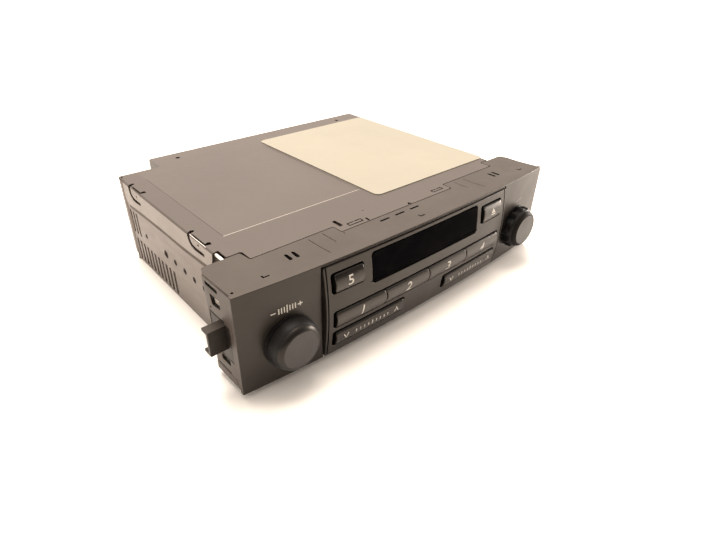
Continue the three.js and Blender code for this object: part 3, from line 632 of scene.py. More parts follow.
def make_cover():
    side = [(38.2, 45.5), (38.6, 44.0), (39.3, 42.0), (39.9, 39.2), (41.2, 38.4), (51, 37.7), (61, 37.1), (71, 36.6), (93, 36.4), (105, 36.0), (112, 35.8), (121, 35.4),
            (129.4, 34.9), (134.4, 34.6), (135.7, 35.3), (136.5, 37.0), (136.7, 40.0), (136.5, 44.0), (136.4, 45.7)]
    left = [(-88.9, 38.2)] + [(S(z), y) for y, z in side] + [(-88.9, 136.4), (-88.9, 137.2)]
    front = [(-80.2, 31.6), (-80.2, 24.5), (-37.2, 24.5), (-37.2, 18.5), (37.7, 18.5), (37.7, 24.5), (80.2, 24.5), (80.2, 31.6)]
    fr = [0.9, 0.9, 0.9, 1.2, 1.2, 0.9, 0.9, 0.9]
    rear_in = 159.5 - BEND
    # right side going to the rear, the rear edge from right to left, then the left side back to the front
    pts = front + [(87.1, 31.6), (87.1, 38.3)] + [(-x, y) for x, y in left] + [(89.6, 137.6), (89.6, 158.2), (88.2, 158.3), (88.2, 164.6), (-65.2, 164.6), (-65.2, 158.3), (-66.0, 158.3),
                   (-66.0, 143.3), (-89.6, 143.3), (-89.6, 137.6)] + left[::-1] + [(-87.1, 38.3), (-87.1, 31.6)]
    rad = fr + [0.5, 0.3] + [0.0] * len(left) + [0.3, 0.4, 0.2, 0.5, 0.5, 0.2, 0.6, 0.8, 0.6, 0.3] + [0.0] * len(left) + [0.3, 0.5]
    outline = fillet(pts, rad, 3)
    holes = []
    slots = [tab_slot(45.4, 59.9, 41.5), tab_slot(113.8, 127.4, 40.3)]
    holes += slots + [[(-x, y) for x, y in h] for h in slots]
    for y, z in ((51.3, 44.8), (119.0, 43.8)):
        holes += [circle(S(z), y, 0.6, 12), circle(-S(z), y, 0.6, 12)]
    holes.append([(-34.9, 22.4), (-32.7, 22.8), (-32.9, 28.7), (-34.7, 28.4)])
    holes.append(c_slit(-31.0, -22.3, 20.2, 22.8))
    holes.append(c_slit(26.5, 34.5, 20.6, 23.0))
    holes.append([(-88.9, 139.6), (-88.3, 139.6), (-87.9, 142.2), (-88.5, 142.2)])
    holes.append(circle(-15.8, 28.1, 0.35, 10))
    holes.append([(-20.9, 18.85), (-19.8, 18.85), (-19.5, 21.6), (-20.4, 21.8)])
    holes.append([(5.8, 18.85), (8.8, 18.85), (7.3, 20.8)])
    holes.append(circle(70.0, 150.5, 1.3, 16))
    holes.append(circle(-52.0, 150.5, 1.3, 16))
    bm = plate(outline, holes, TOP_Z - SHEET, TOP_Z, 0.09, "Z", 1)
    # lines where the sheet bends or is pressed
    bend = [88.8 + BEND * math.pi / 2 * i / 5 for i in range(6)]
    cuts(bm, "X", [s * b for s in (-1, 1) for b in bend])
    cuts(bm, "Y", [rear_in + BEND * math.pi / 2 * i / 5 for i in range(6)])
    fx0, fx1, fy0, fy1 = -79.6, 0.4, 47.6, 139.2
    sx, sy = 0.9, 1.05
    ramp = [0, 0.25, 0.5, 0.75, 1.0]
    cuts(bm, "X", [fx0 + sx * k for k in ramp] + [fx1 - 0.6 * k for k in ramp])
    cuts(bm, "Y", [fy0 + sy * k for k in ramp] + [fy1 - 6.0 * k for k in ramp])
    cuts(bm, "X", steps(-89, 89, 9.0))
    cuts(bm, "Y", steps(19, 158, 9.0))
    for v in bm.verts:
        x, y = v.co.x, v.co.y
        d = min((x - fx0) / sx, (fx1 - x) / 0.6, (y - fy0) / sy, (fy1 - y) / 6.0)
        if d > 0:
            v.co.z -= 0.42 * smooth(d)
        # the sheet sags very slightly between its stiff edges
        if abs(x) < 88 and 33 < y < 156:
            v.co.z -= 0.05 * math.sin(math.pi * (x + 88) / 176) * math.sin(math.pi * (y - 33) / 123)
    fold_x(bm, 1)
    fold_x(bm, -1)
    for v in bm.verts:
        s = v.co.y - rear_in
        if s <= 0 or v.co.z < TOP_Z - 1.0:
            continue
        w = TOP_Z - v.co.z
        q = BEND * math.pi / 2
        if s < q:
            a = s / BEND
            v.co.y = rear_in + (BEND - w) * math.sin(a)
            v.co.z = TOP_Z - BEND + (BEND - w) * math.cos(a)
        else:
            v.co.y = 159.5 - w
            v.co.z = TOP_Z - BEND - (s - q)
    # the two spring tabs are set slightly inwards
    for v in bm.verts:
        if abs(v.co.x) > 88 and v.co.z < 46.4:
            for y0, y1, z0 in ((45.8, 59.4, 41.9), (114.2, 126.9, 40.7)):
                if y0 < v.co.y < y1 and v.co.z > z0:
                    v.co.x -= math.copysign(0.25 * smooth((v.co.y - y0) / 4.0), v.co.x)
    bmesh.ops.recalc_face_normals(bm, faces=bm.faces)
    add(bm, slab(-66.0, -65.2, 143.6, 159.2, 38.0, 46.45, 0.1))
    add(bm, slab(-89.4, -66.2, 142.6, 143.2, 38.0, 46.35, 0.1))
    bm.normal_update()

    def which(f):
        c = f.calc_center_median()
        # the side flanges take the lighter copy of the cover steel: painted light
        if abs(f.normal.x) > 0.75 and abs(c.x) > 88.9 and c.z < 46.2:
            return 1
        # painted highlight on the front slope of the pressed field, painted shade on its left slope
        if f.normal.z > 0.5 and c.z > 46.0:
            if fy0 + 0.05 < c.y < fy0 + sy - 0.05 and fx0 + 0.4 < c.x < fx1 - 3.5:
                return 2
            if fx0 + 0.05 < c.x < fx0 + 0.7 and fy0 + 0.6 < c.y < fy1 - 8:
                return 3
        return 0
    finish_piece("cover_sheet", bm, [MAT["cover"], MAT["cover_side_painted_light"], MAT["crease"], MAT["crease_painted_shade"]], "chassis", ["top_cover"], 24, which)
    # painted shadow: a dark strip in the gap below each side flange, standing for the flange's shadow on the tray wall
    low = [(y, z) for y, z in side if y > 40.5 and y < 135.9]
    strip = [(y, z + 0.5) for y, z in low] + [(y + (0.35 if z < 35.5 and y > 134 else 0.0), z - 3.2) for y, z in low[::-1]]
    bm = new_bm()
    for s in (-1, 1):
        x0, x1 = sorted((s * 88.5, s * 89.12))
        add(bm, plate(strip, [], x0, x1, 0.05, "X", 1))
    finish_piece("flange_seam", bm, MAT["seam"], "chassis", angle=30)
    # painted shade: dark blocks under the cover's cut front corners and under its front tongue
    bm = new_bm()
    for s in (-1, 1):
        add(bm, slab(*sorted((s * 86.9, s * 89.1)), 31.75, 38.9, 41.2, 45.2, 0.1))
    add(bm, slab(-37.0, 37.0, 19.6, 30.4, 45.35, 45.95, 0.1))
    finish_piece("flange_shade_blocks", bm, MAT["gap"], "chassis", angle=30)
    # painted light: near-white steel on the tray wall's end in the cover's cut corner
    bm = new_bm()
    for s in (-1, 1):
        add(bm, slab(*sorted((s * 88.0, s * 89.0)), 32.0, 38.0, 45.35, 46.4, 0.12))
        # and a painted highlight along the sheet's top edge beside the front tab slot
        add(bm, slab(*sorted((s * 89.34, s * 89.58)), 44.4, 59.0, 46.74, 46.93, 0.06))
    finish_piece("painted_highlight_edges", bm, MAT["bright"], "chassis", angle=30)


def make_label():
    pts = [(1.2, 35.7), (88.3, 35.5), (88.4, 144.9), (1.0, 145.0)]
    bm = plate(fillet(pts, [3.4, 2.5, 2.5, 3.2], 6), [], TOP_Z + 0.02, TOP_Z + 0.4, 0.08, "Z", 1)
    cuts(bm, "X", steps(1, 88.4, 3.2))
    cuts(bm, "Y", steps(35.5, 145, 3.2))
    for v in bm.verts:
        if v.co.z > TOP_Z + 0.2:
            x, y = v.co.x, v.co.y
            v.co.z += 0.02 * math.sin(x * 0.21 + 0.6 * math.sin(y * 0.11)) * math.sin(y * 0.17 + 1.0)
            d = math.hypot(x - 46.0, y - 92.0)
            if d < 2.2:
                v.co.z -= 0.1 * (1 - d / 2.2)
    finish_piece("label_sheet", bm, MAT["label"], "chassis", ["label_plate"], 30)


# ------------------------------------------------------------------ tray
def make_tray():
    bm = cad_bm("chassis_tray")
    round_edges(bm, lambda e: e.calc_length() >= 1.2, 0.16, 2, 30)
    cuts(bm, "Y", [139.7, 140.3])
    for v in bm.verts:
        # the side walls step out to the cover's corner behind its flange
        if v.co.y > 140.0 and abs(v.co.x) > 87:
            v.co.x += math.copysign(0.6, v.co.x)
        if v.co.y > 142.0 and v.co.x < -66 and v.co.y < 143:
            v.co.y += 0.5
    finish_piece("tray_sheet", bm, MAT["tray"], "chassis", ["chassis_tray"], 30)
    bm = new_bm()
    for s in (-1, 1):
        x0, x1 = sorted((s * 87.75, s * 88.05))
        add(bm, slab(x0, x1, 86.6, 138.5, -1.7, 13.0, 0.1))
        add(bm, slab(x0, x1, 127.4, 139.4, 15.2, 30.8, 0.1))
    finish_piece("louvre_liner", bm, MAT["liner"], "chassis", angle=30)
    # painted shade: dark rings round the round holes in the side walls
    bm = new_bm()
    for s in (-1, 1):
        x0, x1 = sorted((s * 88.82, s * 88.93))
        for y, r, f in ((54.6, 1.3, 1.3), (64.4, 1.25, 1.35), (74.3, 1.25, 1.35), (84.7, 1.25, 1.35), (95.4, 1.8, 1.25), (120.1, 0.9, 1.6)):
            add(bm, plate(circle(y, 20.0, f * r, 24), [circle(y, 20.0, 0.9 * r, 24)], x0, x1, 0.0, "X", 1))
    finish_piece("side_hole_shade_rings", bm, MAT["gap"], "chassis", angle=30)
    # screws with pressed seats on the right side wall and in the rear wall
    bm = new_bm()
    for y, z in ((49.5, 12.0), (112.0, 26.0)):
        b = turned([(0, 0.0), (2.0, 0.0), (2.0, -0.35), (1.8, -0.55), (0.0, -0.62)], 0.0, 0.0, 24)
        for v in b.verts:
            v.co = (88.88 - v.co.y, y + v.co.x, z + v.co.z)
        add(bm, b)
    for x, z in ((72.0, 26.0), (4.0, 30.0), (-58.0, 34.0), (40.0, 38.0)):
        s = turned([(0, 158.5), (2.6, 158.5), (2.6, 158.95), (2.2, 159.25), (0, 159.3)], x, z, 32)
        add(bm, s)
        c = slab(x - 1.5, x + 1.5, 159.2, 159.36, z - 0.25, z + 0.25, 0.04, 1)
        add(bm, c)
    finish_piece("tray_screws", bm, MAT["tin"], "chassis", angle=40)


# ------------------------------------------------------------------ bezel
FACE_T = 2.2


def make_bezel():
    bm = new_bm()
    outline = fillet([(-101, 0), (-62.5, 0), (-62.5, 47.15), (62.5, 47.15), (62.5, 0), (101, 0), (101, 47.8), (-101, 47.8)],
                     [0.25, 0.3, 0.8, 0.8, 0.3, 0.25, 0.35, 0.35], 3)
    face = plate(outline, [circle(-78.7, 18.4, 5.2, 48), circle(78.7, 18.4, 5.2, 48)], 0.0, FACE_T, 0.32, "Y", 3)
    cuts(face, "X", steps(-101, 101, 3.6))
    for v in face.verts:
        v.co.y += bow(v.co.x)
    add(bm, face)
    # thin ridge between two grooves above the panel
    ridge = plate(rrect(-61.9, 61.9, 46.52, 46.95, 0.15, 2), [], 0.12, 2.0, 0.12, "Y", 2)
    cuts(ridge, "X", steps(-61.9, 61.9, 3.6))
    for v in ridge.verts:
        v.co.y += bow(v.co.x)
    add(bm, ridge)
    back = plate(rrect(-61.9, 61.9, 45.9, 47.3, 0.05, 1), [], 1.5, 2.1, 0.05, "Y", 1)
    cuts(back, "X", steps(-61.9, 61.9, 3.6))
    for v in back.verts:
        v.co.y += bow(v.co.x)
    add(bm, back)

    lead = [(-100 + 200 * i / 24, bow(-100 + 200 * i / 24) + 1.1) for i in range(25)]
    rim = [(100.2, 27), (98.6, 31), (80.6, 31), (80.6, 24.1), (38, 24.1), (38, 18.1), (-37.5, 18.1), (-37.5, 24.1), (-80.6, 24.1), (-81.3, 31), (-98.6, 31), (-100.2, 27)]
    rr = [0.6, 1.0, 0.9, 0.9, 0.7, 0.9, 0.9, 0.7, 0.9, 0.9, 1.0, 0.6]
    outline = fillet(lead + rim, [0.0] * len(lead) + rr, 3)
    holes = []
    for x in (-68, -64.5, 69.4, 72.9):
        holes.append([(x - 1.0, 13.2), (x + 0.2, 12.7), (x + 0.75, 14.0), (x + 0.85, 17.4), (x + 0.2, 18.4), (x - 0.5, 17.8)])
    for x in (-14.4, -4.4, 5.6):
        holes.append(rrect(x - 3, x + 3, 14.15, 15.2, 0.25, 2))
    for x, y0, y1 in ((-53, 7.0, 22.0), (-45, 13.0, 22.5), (-37.2, 16.2, 17.6), (52.5, 7.5, 22.0), (45, 13.0, 22.5)):
        holes.append([(x - 0.1, y0), (x + 0.1, y0), (x + 0.12, y1), (x - 0.12, y1)])
    for x, y in ((-83.0, 8.6), (1.6, 5.6), (88.4, 9.6)):
        holes.append([(x - 1.5, y + 1.8), (x - 1.5, y - 0.1), (x + 1.5, y - 0.1), (x + 1.5, y + 0.6), (x - 0.8, y + 0.6), (x - 0.8, y + 1.8)])
    holes.append(circle(-98.5, 7.3, 0.6, 12))
    fl = plate(outline, holes, TOP_Z - 1.6, TOP_Z, 0.14, "Z", 1)
    cuts(fl, "X", steps(-100, 100, 3.6))
    for v in fl.verts:
        v.co.y -= bow(v.co.x)
    cuts(fl, "Y", [1.6, 2.2, 4.0, 6.0, 8.0, 10.0, 12.0, 15.0])
    for v in fl.verts:
        t = max(0.0, min(1.0, (15.0 - v.co.y) / 13.0))
        if v.co.z > TOP_Z - 0.9:
            v.co.z += 0.66 * (0.8 * t + 0.2 * t * t)
        v.co.y += bow(v.co.x)
    add(bm, fl)

    bottom = plate(lead + [(100.2, 10), (90.5, 10), (90.5, 24.1), (-90.5, 24.1), (-90.5, 10), (-100.2, 10)], [], 0.04, 1.5, 0.15, "Z", 1)
    add(bm, bottom)

    for s in (-1, 1):
        x0, x1 = (-100.5, -99.0) if s < 0 else (99.0, 100.5)
        out = fillet([(5, 0.05), (25.6, 0.05), (25.6, 2.2), (25.3, 4.2), (25.3, 24), (27.4, 46.6), (5, 46.6)], [0, 0.5, 0.8, 0.6, 2.0, 0.6, 0], 3)
        holes = [fillet([(15.6, 43.4), (24.8, 43.4), (25.4, 45.0), (15.6, 45.0)], 0.4, 2),
                 fillet([(14.9, 36.4), (21.4, 35.8), (22.4, 40.6), (15.0, 40.4)], 0.5, 2),
                 fillet([(9.6, 12.75), (24.9, 12.75), (24.9, 30.55), (9.6, 30.55)], 0.15, 2), [(13.4, 31.0), (24.9, 31.0), (24.9, 31.6), (13.4, 31.6)],
                 fillet([(13.0, 9.2), (19.8, 9.2), (19.8, 12.2), (13.0, 12.2)], 0.3, 2),
                 rrect(13.5, 23.6, 4.7, 5.3, 0.2, 2), circle(23.2, 33.6, 0.5, 12)]
        add(bm, plate(out, holes, x0, x1, 0.14, "X", 1))
        # foot rail along the bottom of the wing wall, ribs and the frame round the latch
        add(bm, slab(x0 - 0.15 if s < 0 else x1 - 1.2, x0 + 1.2 if s < 0 else x1 + 0.15, 9.2, 25.4, 1.4, 4.3, 0.3))
        a, b = sorted((s * 65.2, s * 66.4))
        add(bm, slab(a, b, 3.0, 4.8, 1.0, 46.0, 0.2))
        for x in (72.0, 88.0, 96.0):
            a, b = sorted((s * (x - 0.5), s * (x + 0.5)))
            add(bm, slab(a, b, bow(x) + 2.0, bow(x) + 6.5, 32.0, 45.7, 0.15))
    bm.normal_update()

    def which(f):
        c = f.calc_center_median()
        # upward flange faces and the wing side walls take the lighter copies: painted light
        if f.normal.z > 0.75 and c.z > 44 and (c.y - bow(c.x) > 0.25 or abs(c.x) > 99):
            return 1
        if f.normal.x < -0.8 and c.x < -99 or f.normal.x > 0.8 and c.x > 99:
            return 3 if c.y > 5 else 0
        # painted shade: the faces of the grooves beside the ridge above the panel are near-black
        if 45.9 < c.z < 47.3 and abs(c.x) < 62 and 0.2 < c.y - bow(c.x) < 2.0:
            return 2
        return 0
    # bright spring steel behind the windows of the wing walls, coloured near white so it also stands as painted light
    # in the windows
    sb = new_bm()
    for s in (-1, 1):
        add(sb, slab(*sorted((s * 98.3, s * 98.8)), 16.6, 22.6, 37.0, 40.9, 0.1))
        add(sb, slab(*sorted((s * 98.3, s * 98.8)), 14.4, 20.6, 9.2, 11.9, 0.1))
        add(sb, slab(*sorted((s * 98.3, s * 98.8)), 17.0, 25.0, 43.6, 44.8, 0.1))
    finish_piece("wing_springs", sb, MAT["bright"], "chassis", angle=30)
    finish_piece("bezel_shell", bm, [MAT["shell"], MAT["shell_top_painted_light"], MAT["key_side_and_gap_shade"], MAT["shell_side_painted_light"]], "chassis", ["front_bezel"], 28, which)
    # dark collars on the bowed face, just behind the knobs
    for side, name in ((-1, "tune"), (1, "volume")):
        x = side * 78.7
        prof = [(5.25, 4.2), (11.95, 4.2), (11.8, 1.24), (11.75, 1.2), (5.4, 1.2), (5.25, 1.3)]
        bm = turned(prof + [prof[0]], x, 18.4, 96)
        finish_piece(name + "_collar", bm, MAT["knob"], "chassis", angle=35)


# ------------------------------------------------------------------ control panel
TA = (-57.0, -41.6, 33.2, 41.6)
EJ = (41.4, 57.0, 33.2, 41.8)
ROW_Z = (15.4, 23.1)
ROW_X = (-56.9, -28.4, 0.3, 28.9, 57.0)
RK = ((-57.1, -15.4, 5.2, 12.2), (14.0, 57.1, 5.2, 12.2))


def make_panel():
    holes = []
    for r in (TA, EJ, (ROW_X[0], ROW_X[4], *ROW_Z)) + RK:
        wide = 1.7 if r in (TA, EJ) else 1.3
        holes.append(rrect(r[0] - wide, r[1] + 0.42, r[2] - 0.42, r[3] + 0.85, 1.35, 5))
    holes.append(rrect(-36.6, 36.6, 29.4, 44.5, 1.7, 6))
    outline = rrect(-61.9, 61.9, 0.3, 46.0, 0.9, 5)
    bm = plate(outline, holes, 0.0, 2.6, 0.26, "Y", 3)
    edge = 61.9
    cuts(bm, "X", [s * (edge - d) for s in (-1, 1) for d in (0.75, 0.85, 1.35, 1.45)])
    cuts(bm, "X", steps(-61.9, 61.9, 3.6))
    cuts(bm, "Z", steps(0.3, 46.2, 2.6))
    for v in bm.verts:
        x, t, z = v.co
        if t < 1.0:
            y = bow(x) - bulge(z) + t
            d = edge - abs(x)
            if t < 0.2 and 0.8 < d < 1.4:
                y += 0.35
        else:
            y = bow(x) + 1.3 - (2.6 - t)
        v.co.y = y
    bm.normal_update()

    def which(f):
        c = f.calc_center_median()
        # painted shade: the walls of the key openings and the groove at each end of the panel are near-black
        if abs(f.normal.y) < 0.5 and abs(c.x) < 61.5 and 0.8 < c.z < 45.8:
            return 1
        d = edge - abs(c.x)
        if 0.74 < d < 1.46:
            return 1
        return 0
    finish_piece("panel_shell", bm, [MAT["panel"], MAT["key_side_and_gap_shade"]], "chassis", ["control_panel"], 32, which)


def key_outline(x0, x1, z0, z1, left=0.0, right=0.0, r=1.0):
    """Outline of a key whose ends may be arcs: left and right are how far the end leans out to +X at mid height."""
    zc, h = (z0 + z1) / 2, (z1 - z0) / 2
    n = 8
    pts = []
    rad = []
    if right:
        for i in range(n + 1):
            z = z0 + (z1 - z0) * i / n
            pts.append((x1 + right * (1 - ((z - zc) / h) ** 2) - right * 0.5, z))
            rad.append(0.35 if i in (0, n) else 0)
    else:
        pts += [(x1, z0), (x1, z1)]; rad += [r, r]
    if left:
        for i in range(n + 1):
            z = z1 - (z1 - z0) * i / n
            pts.append((x0 + left * (1 - ((z - zc) / h) ** 2) - left * 0.5, z))
            rad.append(0.35 if i in (0, n) else 0)
    else:
        pts += [(x0, z1), (x0, z0)]; rad += [r, r]
    return fillet(pts, rad, 4)


def key_front(x, z, zc, h):
    k = max(-1.0, min(1.0, (z - zc) / h))
    return bow(x) - bulge(z) - 1.2 + (1.15 if k > 0 else 0.95) * k * k


def make_key(node, body, x0, x1, z0, z1, left=0.0, right=0.0, yb=3.4, r=1.0, mat="key"):
    out = key_outline(x0, x1, z0, z1, left, right, r)
    bm = plate(out, [], 0.0, 5.0, 0.5, "Y", 4)
    cuts(bm, "X", steps(x0, x1, 2.4))
    cuts(bm, "Z", steps(z0, z1, 0.9))
    zc, h = (z0 + z1) / 2, (z1 - z0) / 2
    for v in bm.verts:
        x, t, z = v.co
        v.co.y = key_front(x, z, zc, h) + t if t < 2.0 else yb - (5.0 - t)
    bm.normal_update()

    def which(f):
        c = f.calc_center_median()
        return 1 if abs(f.normal.y) < 0.35 and c.y > key_front(c.x, c.z, zc, h) + 0.3 or f.normal.y > 0.5 else 0
    finish_piece(node + "_face", bm, [MAT[mat], MAT["key_side_and_gap_shade"]], body, [node], 40, which)


def make_keys():
    make_key("assist_key", "assist_key", *TA)
    make_key("eject_key", "eject_key", *EJ)
    for i in range(4):
        x0 = ROW_X[i] + (0.25 if i else 0)
        x1 = ROW_X[i + 1] - (0.25 if i < 3 else 0)
        make_key(f"mode_key_{i + 1}", f"mode_key_{i + 1}", x0, x1, *ROW_Z, left=0.9 if i else 0, right=0.9 if i < 3 else 0, mat="key_row")
    for name, (x0, x1, z0, z1) in zip(("rocker_left", "rocker_right"), RK):
        make_key(name, name, x0 + 0.3, x1 - 0.3, z0 + 0.1, z1 - 0.1, yb=3.1, mat="key_low")


# ------------------------------------------------------------------ flap with the smoked window
def make_flap():
    px, pz, pr = 36.3, 30.75, 0.95
    bm = new_bm()
    outline = fillet([(-px, pz), (px, pz), (px, 44.2), (-px, 44.2)], [0, 0, 1.5, 1.5], 6)
    f = plate(outline, [], 0.0, 1.6, 0.14, "Y", 3)
    cuts(f, "X", [-px + 1.35, -px + 1.6] + steps(-px, px, 2.4))
    cuts(f, "Z", steps(pz, 44.2, 0.9))
    for v in f.verts:
        x, t, z = v.co
        y = bow(x) - bulge(z)
        if t < 0.8:
            v.co.y = y + t + (0.12 if x < -px + 1.4 and t < 0.5 else 0.0)
        else:
            v.co.y = -0.56 - (1.6 - t)
    add(bm, f)
    frame_out = fillet([(-px + 0.05, pz + 0.05), (px - 0.05, pz + 0.05), (px - 0.05, 44.1), (-px + 0.05, 44.1)], [0, 0, 1.5, 1.5], 6)
    add(bm, plate(frame_out, [rrect(-31, 31, 32.4, 42.9, 0.4, 2)], -0.6, 0.4, 0.08, "Y", 1))
    n = 24
    rings = []
    k = new_bm()
    for x, r in ((-37.6, 0.45), (-37.45, 0.6), (-35.7, 0.6), (-35.7, pr - 0.1), (-35.6, pr), (35.6, pr), (35.7, pr - 0.1), (35.7, 0.6), (37.45, 0.6), (37.6, 0.45)):
        rings.append([k.verts.new((x, -1.15 + r * math.cos(2 * math.pi * i / n), pz + r * math.sin(2 * math.pi * i / n))) for i in range(n)])
    k.faces.new(rings[0]); k.faces.new(rings[-1][::-1])
    for a, b in zip(rings, rings[1:]):
        for i in range(n):
            j = (i + 1) % n
            k.faces.new((a[i], a[j], b[j], b[i]))
    bmesh.ops.recalc_face_normals(k, faces=k.faces)
    add(bm, k)
    finish_piece("flap_window", bm, MAT["window"], "tape_flap", ["tape_flap"], 35)


# ------------------------------------------------------------------ knobs
def make_knobs():
    kz = 18.4
    body = [(0, 0.9), (3.2, 0.9), (3.2, 1.12), (11.3, 1.12), (11.6, 1.0), (11.7, 0.7)] + \
        spline([(11.7, 0.6), (11.55, -0.8), (11.3, -2.2), (10.95, -3.3), (10.5, -4.2)], 4) + [(10.2, -4.24), (0, -4.24)]
    cap = [(0, -4.15), (10.2, -4.15), (10.42, -4.22)] + \
        spline([(10.46, -4.3), (10.25, -4.75), (9.95, -5.2), (9.55, -5.58), (9.15, -5.86), (8.85, -6.03), (8.65, -6.11)], 5) + [(8.57, -6.06), (8.49, -6.06), (8.41, -6.15), (8.3, -6.18), (3.0, -6.18), (0, -6.18)]
    for side, name in ((-1, "tune"), (1, "volume")):
        x = side * 78.7
        if side < 0:
            bm = turned(body, x, kz, 128)
        else:
            def fluted(r, y, a):
                if r < 9 or y < -3.1:
                    return r
                k = smooth((y + 3.1) / 0.7)
                wave = 0.5 + 0.5 * math.cos(12 * a)
                return r + k * (1.75 * wave ** 1.1 - 1.35)
            vb = [(0, 0.9), (3.2, 0.9), (3.2, 1.12), (11.3, 1.12), (11.6, 1.0)] + \
                spline([(11.68, 0.6), (11.62, -0.8), (11.5, -2.0)], 4) + spline([(11.42, -2.3), (11.3, -2.6), (11.1, -3.0), (10.85, -3.6), (10.5, -4.2)], 4) + [(10.2, -4.24), (0, -4.24)]
            bm = turned(vb, x, kz, 192, fluted)
        finish_piece(name + "_grip", bm, MAT["knob"], name + "_knob", [name + "_knob"], 35)
        bm = turned(cap, x, kz, 128)
        bm.normal_update()
        finish_piece(name + "_disc", bm, [MAT["cap"], MAT["gloss" if side < 0 else "gloss_worn"]], name + "_knob", [name + "_cap"], 35,
                     lambda f: 0 if f.calc_center_median().y < -6.1 and f.normal.y < -0.95 else 1)


# ------------------------------------------------------------------ side latches
def make_latches():
    for side, name in ((-1, "left"), (1, "right")):
        def f(a, b):
            return (-b, -a) if side < 0 else (a, b)
        bm = new_bm()
        add(bm, slab(*f(99.1, 100.42), 9.75, 24.6, 12.9, 30.4, 0.2))
        c = [(12.9, 18.5), (17.9, 18.5), (17.9, 19.9), (14.5, 19.9), (14.5, 28.8), (17.9, 28.8), (17.9, 30.2), (12.9, 30.2)]
        add(bm, plate(fillet(c, [0.3, 0.2, 0.2, 0.5, 0.5, 0.2, 0.2, 0.3], 3), [], *f(100.1, 108), 0.2, "X", 2))
        bmesh.ops.recalc_face_normals(bm, faces=bm.faces)
        bm.normal_update()
        # upward faces of the clip take the lighter copy: painted light
        finish_piece(f"latch_{name}_clip", bm, [MAT["latch"], MAT["latch_top_painted_light"]], f"side_latch_{name}", [f"side_latch_{name}"], 32,
                     lambda f: 1 if f.normal.z > 0.8 else 0)


# ------------------------------------------------------------------ legends: plain digits and signs
def legend(name, outlines, surface, body, lift=0.012, thick=0.03, mat="ink"):
    """Flat outlines in X, Z laid on a front surface as a thin layer of ink."""
    bm = new_bm()
    for o in outlines:
        if isinstance(o, bpy.types.Mesh):
            b = new_bm()
            b.from_mesh(o)
            bpy.data.meshes.remove(o)
        else:
            b = plate(o, [], 0.0, 1.0, 0.0, "Y", 0)
        add(bm, b)
    xs = [v.co.x for v in bm.verts]
    cuts(bm, "X", steps(min(xs), max(xs), 0.8))
    zs = [v.co.z for v in bm.verts]
    cuts(bm, "Z", steps(min(zs), max(zs), 0.45))
    for v in bm.verts:
        v.co.y = surface(v.co.x, v.co.z) - lift - (thick if v.co.y < 0.5 else 0.0)
    bmesh.ops.recalc_face_normals(bm, faces=bm.faces)
    finish_piece(name, bm, MAT[mat], body, angle=30)


def glyph(text, x, z, size, shear=0.0, stretch=1.0):
    """Mesh of a digit, centred on x, z, with faces at depths 0 and 1."""
    cu = bpy.data.curves.new("tmp", "FONT")
    cu.body = text
    cu.size = size * 1.38
    cu.shear = shear
    cu.align_x = "CENTER"
    cu.align_y = "CENTER"
    cu.extrude = 0.5
    cu.resolution_u = 4
    cu.offset = 0.02
    ob = bpy.data.objects.new("tmp", cu)
    scene.collection.objects.link(ob)
    me = bpy.data.meshes.new_from_object(ob.evaluated_get(bpy.context.evaluated_depsgraph_get()))
    bpy.data.objects.remove(ob)
    bpy.data.curves.remove(cu)
    lo = [min(v.co[i] for v in me.vertices) for i in (0, 1)]
    hi = [max(v.co[i] for v in me.vertices) for i in (0, 1)]
    k = size / (hi[1] - lo[1])
    for v in me.vertices:
        a, b, c = v.co
        v.co = (x + (a - (lo[0] + hi[0]) / 2) * k * stretch, 0.5 - c, z + (b - (lo[1] + hi[1]) / 2) * k)
    return me


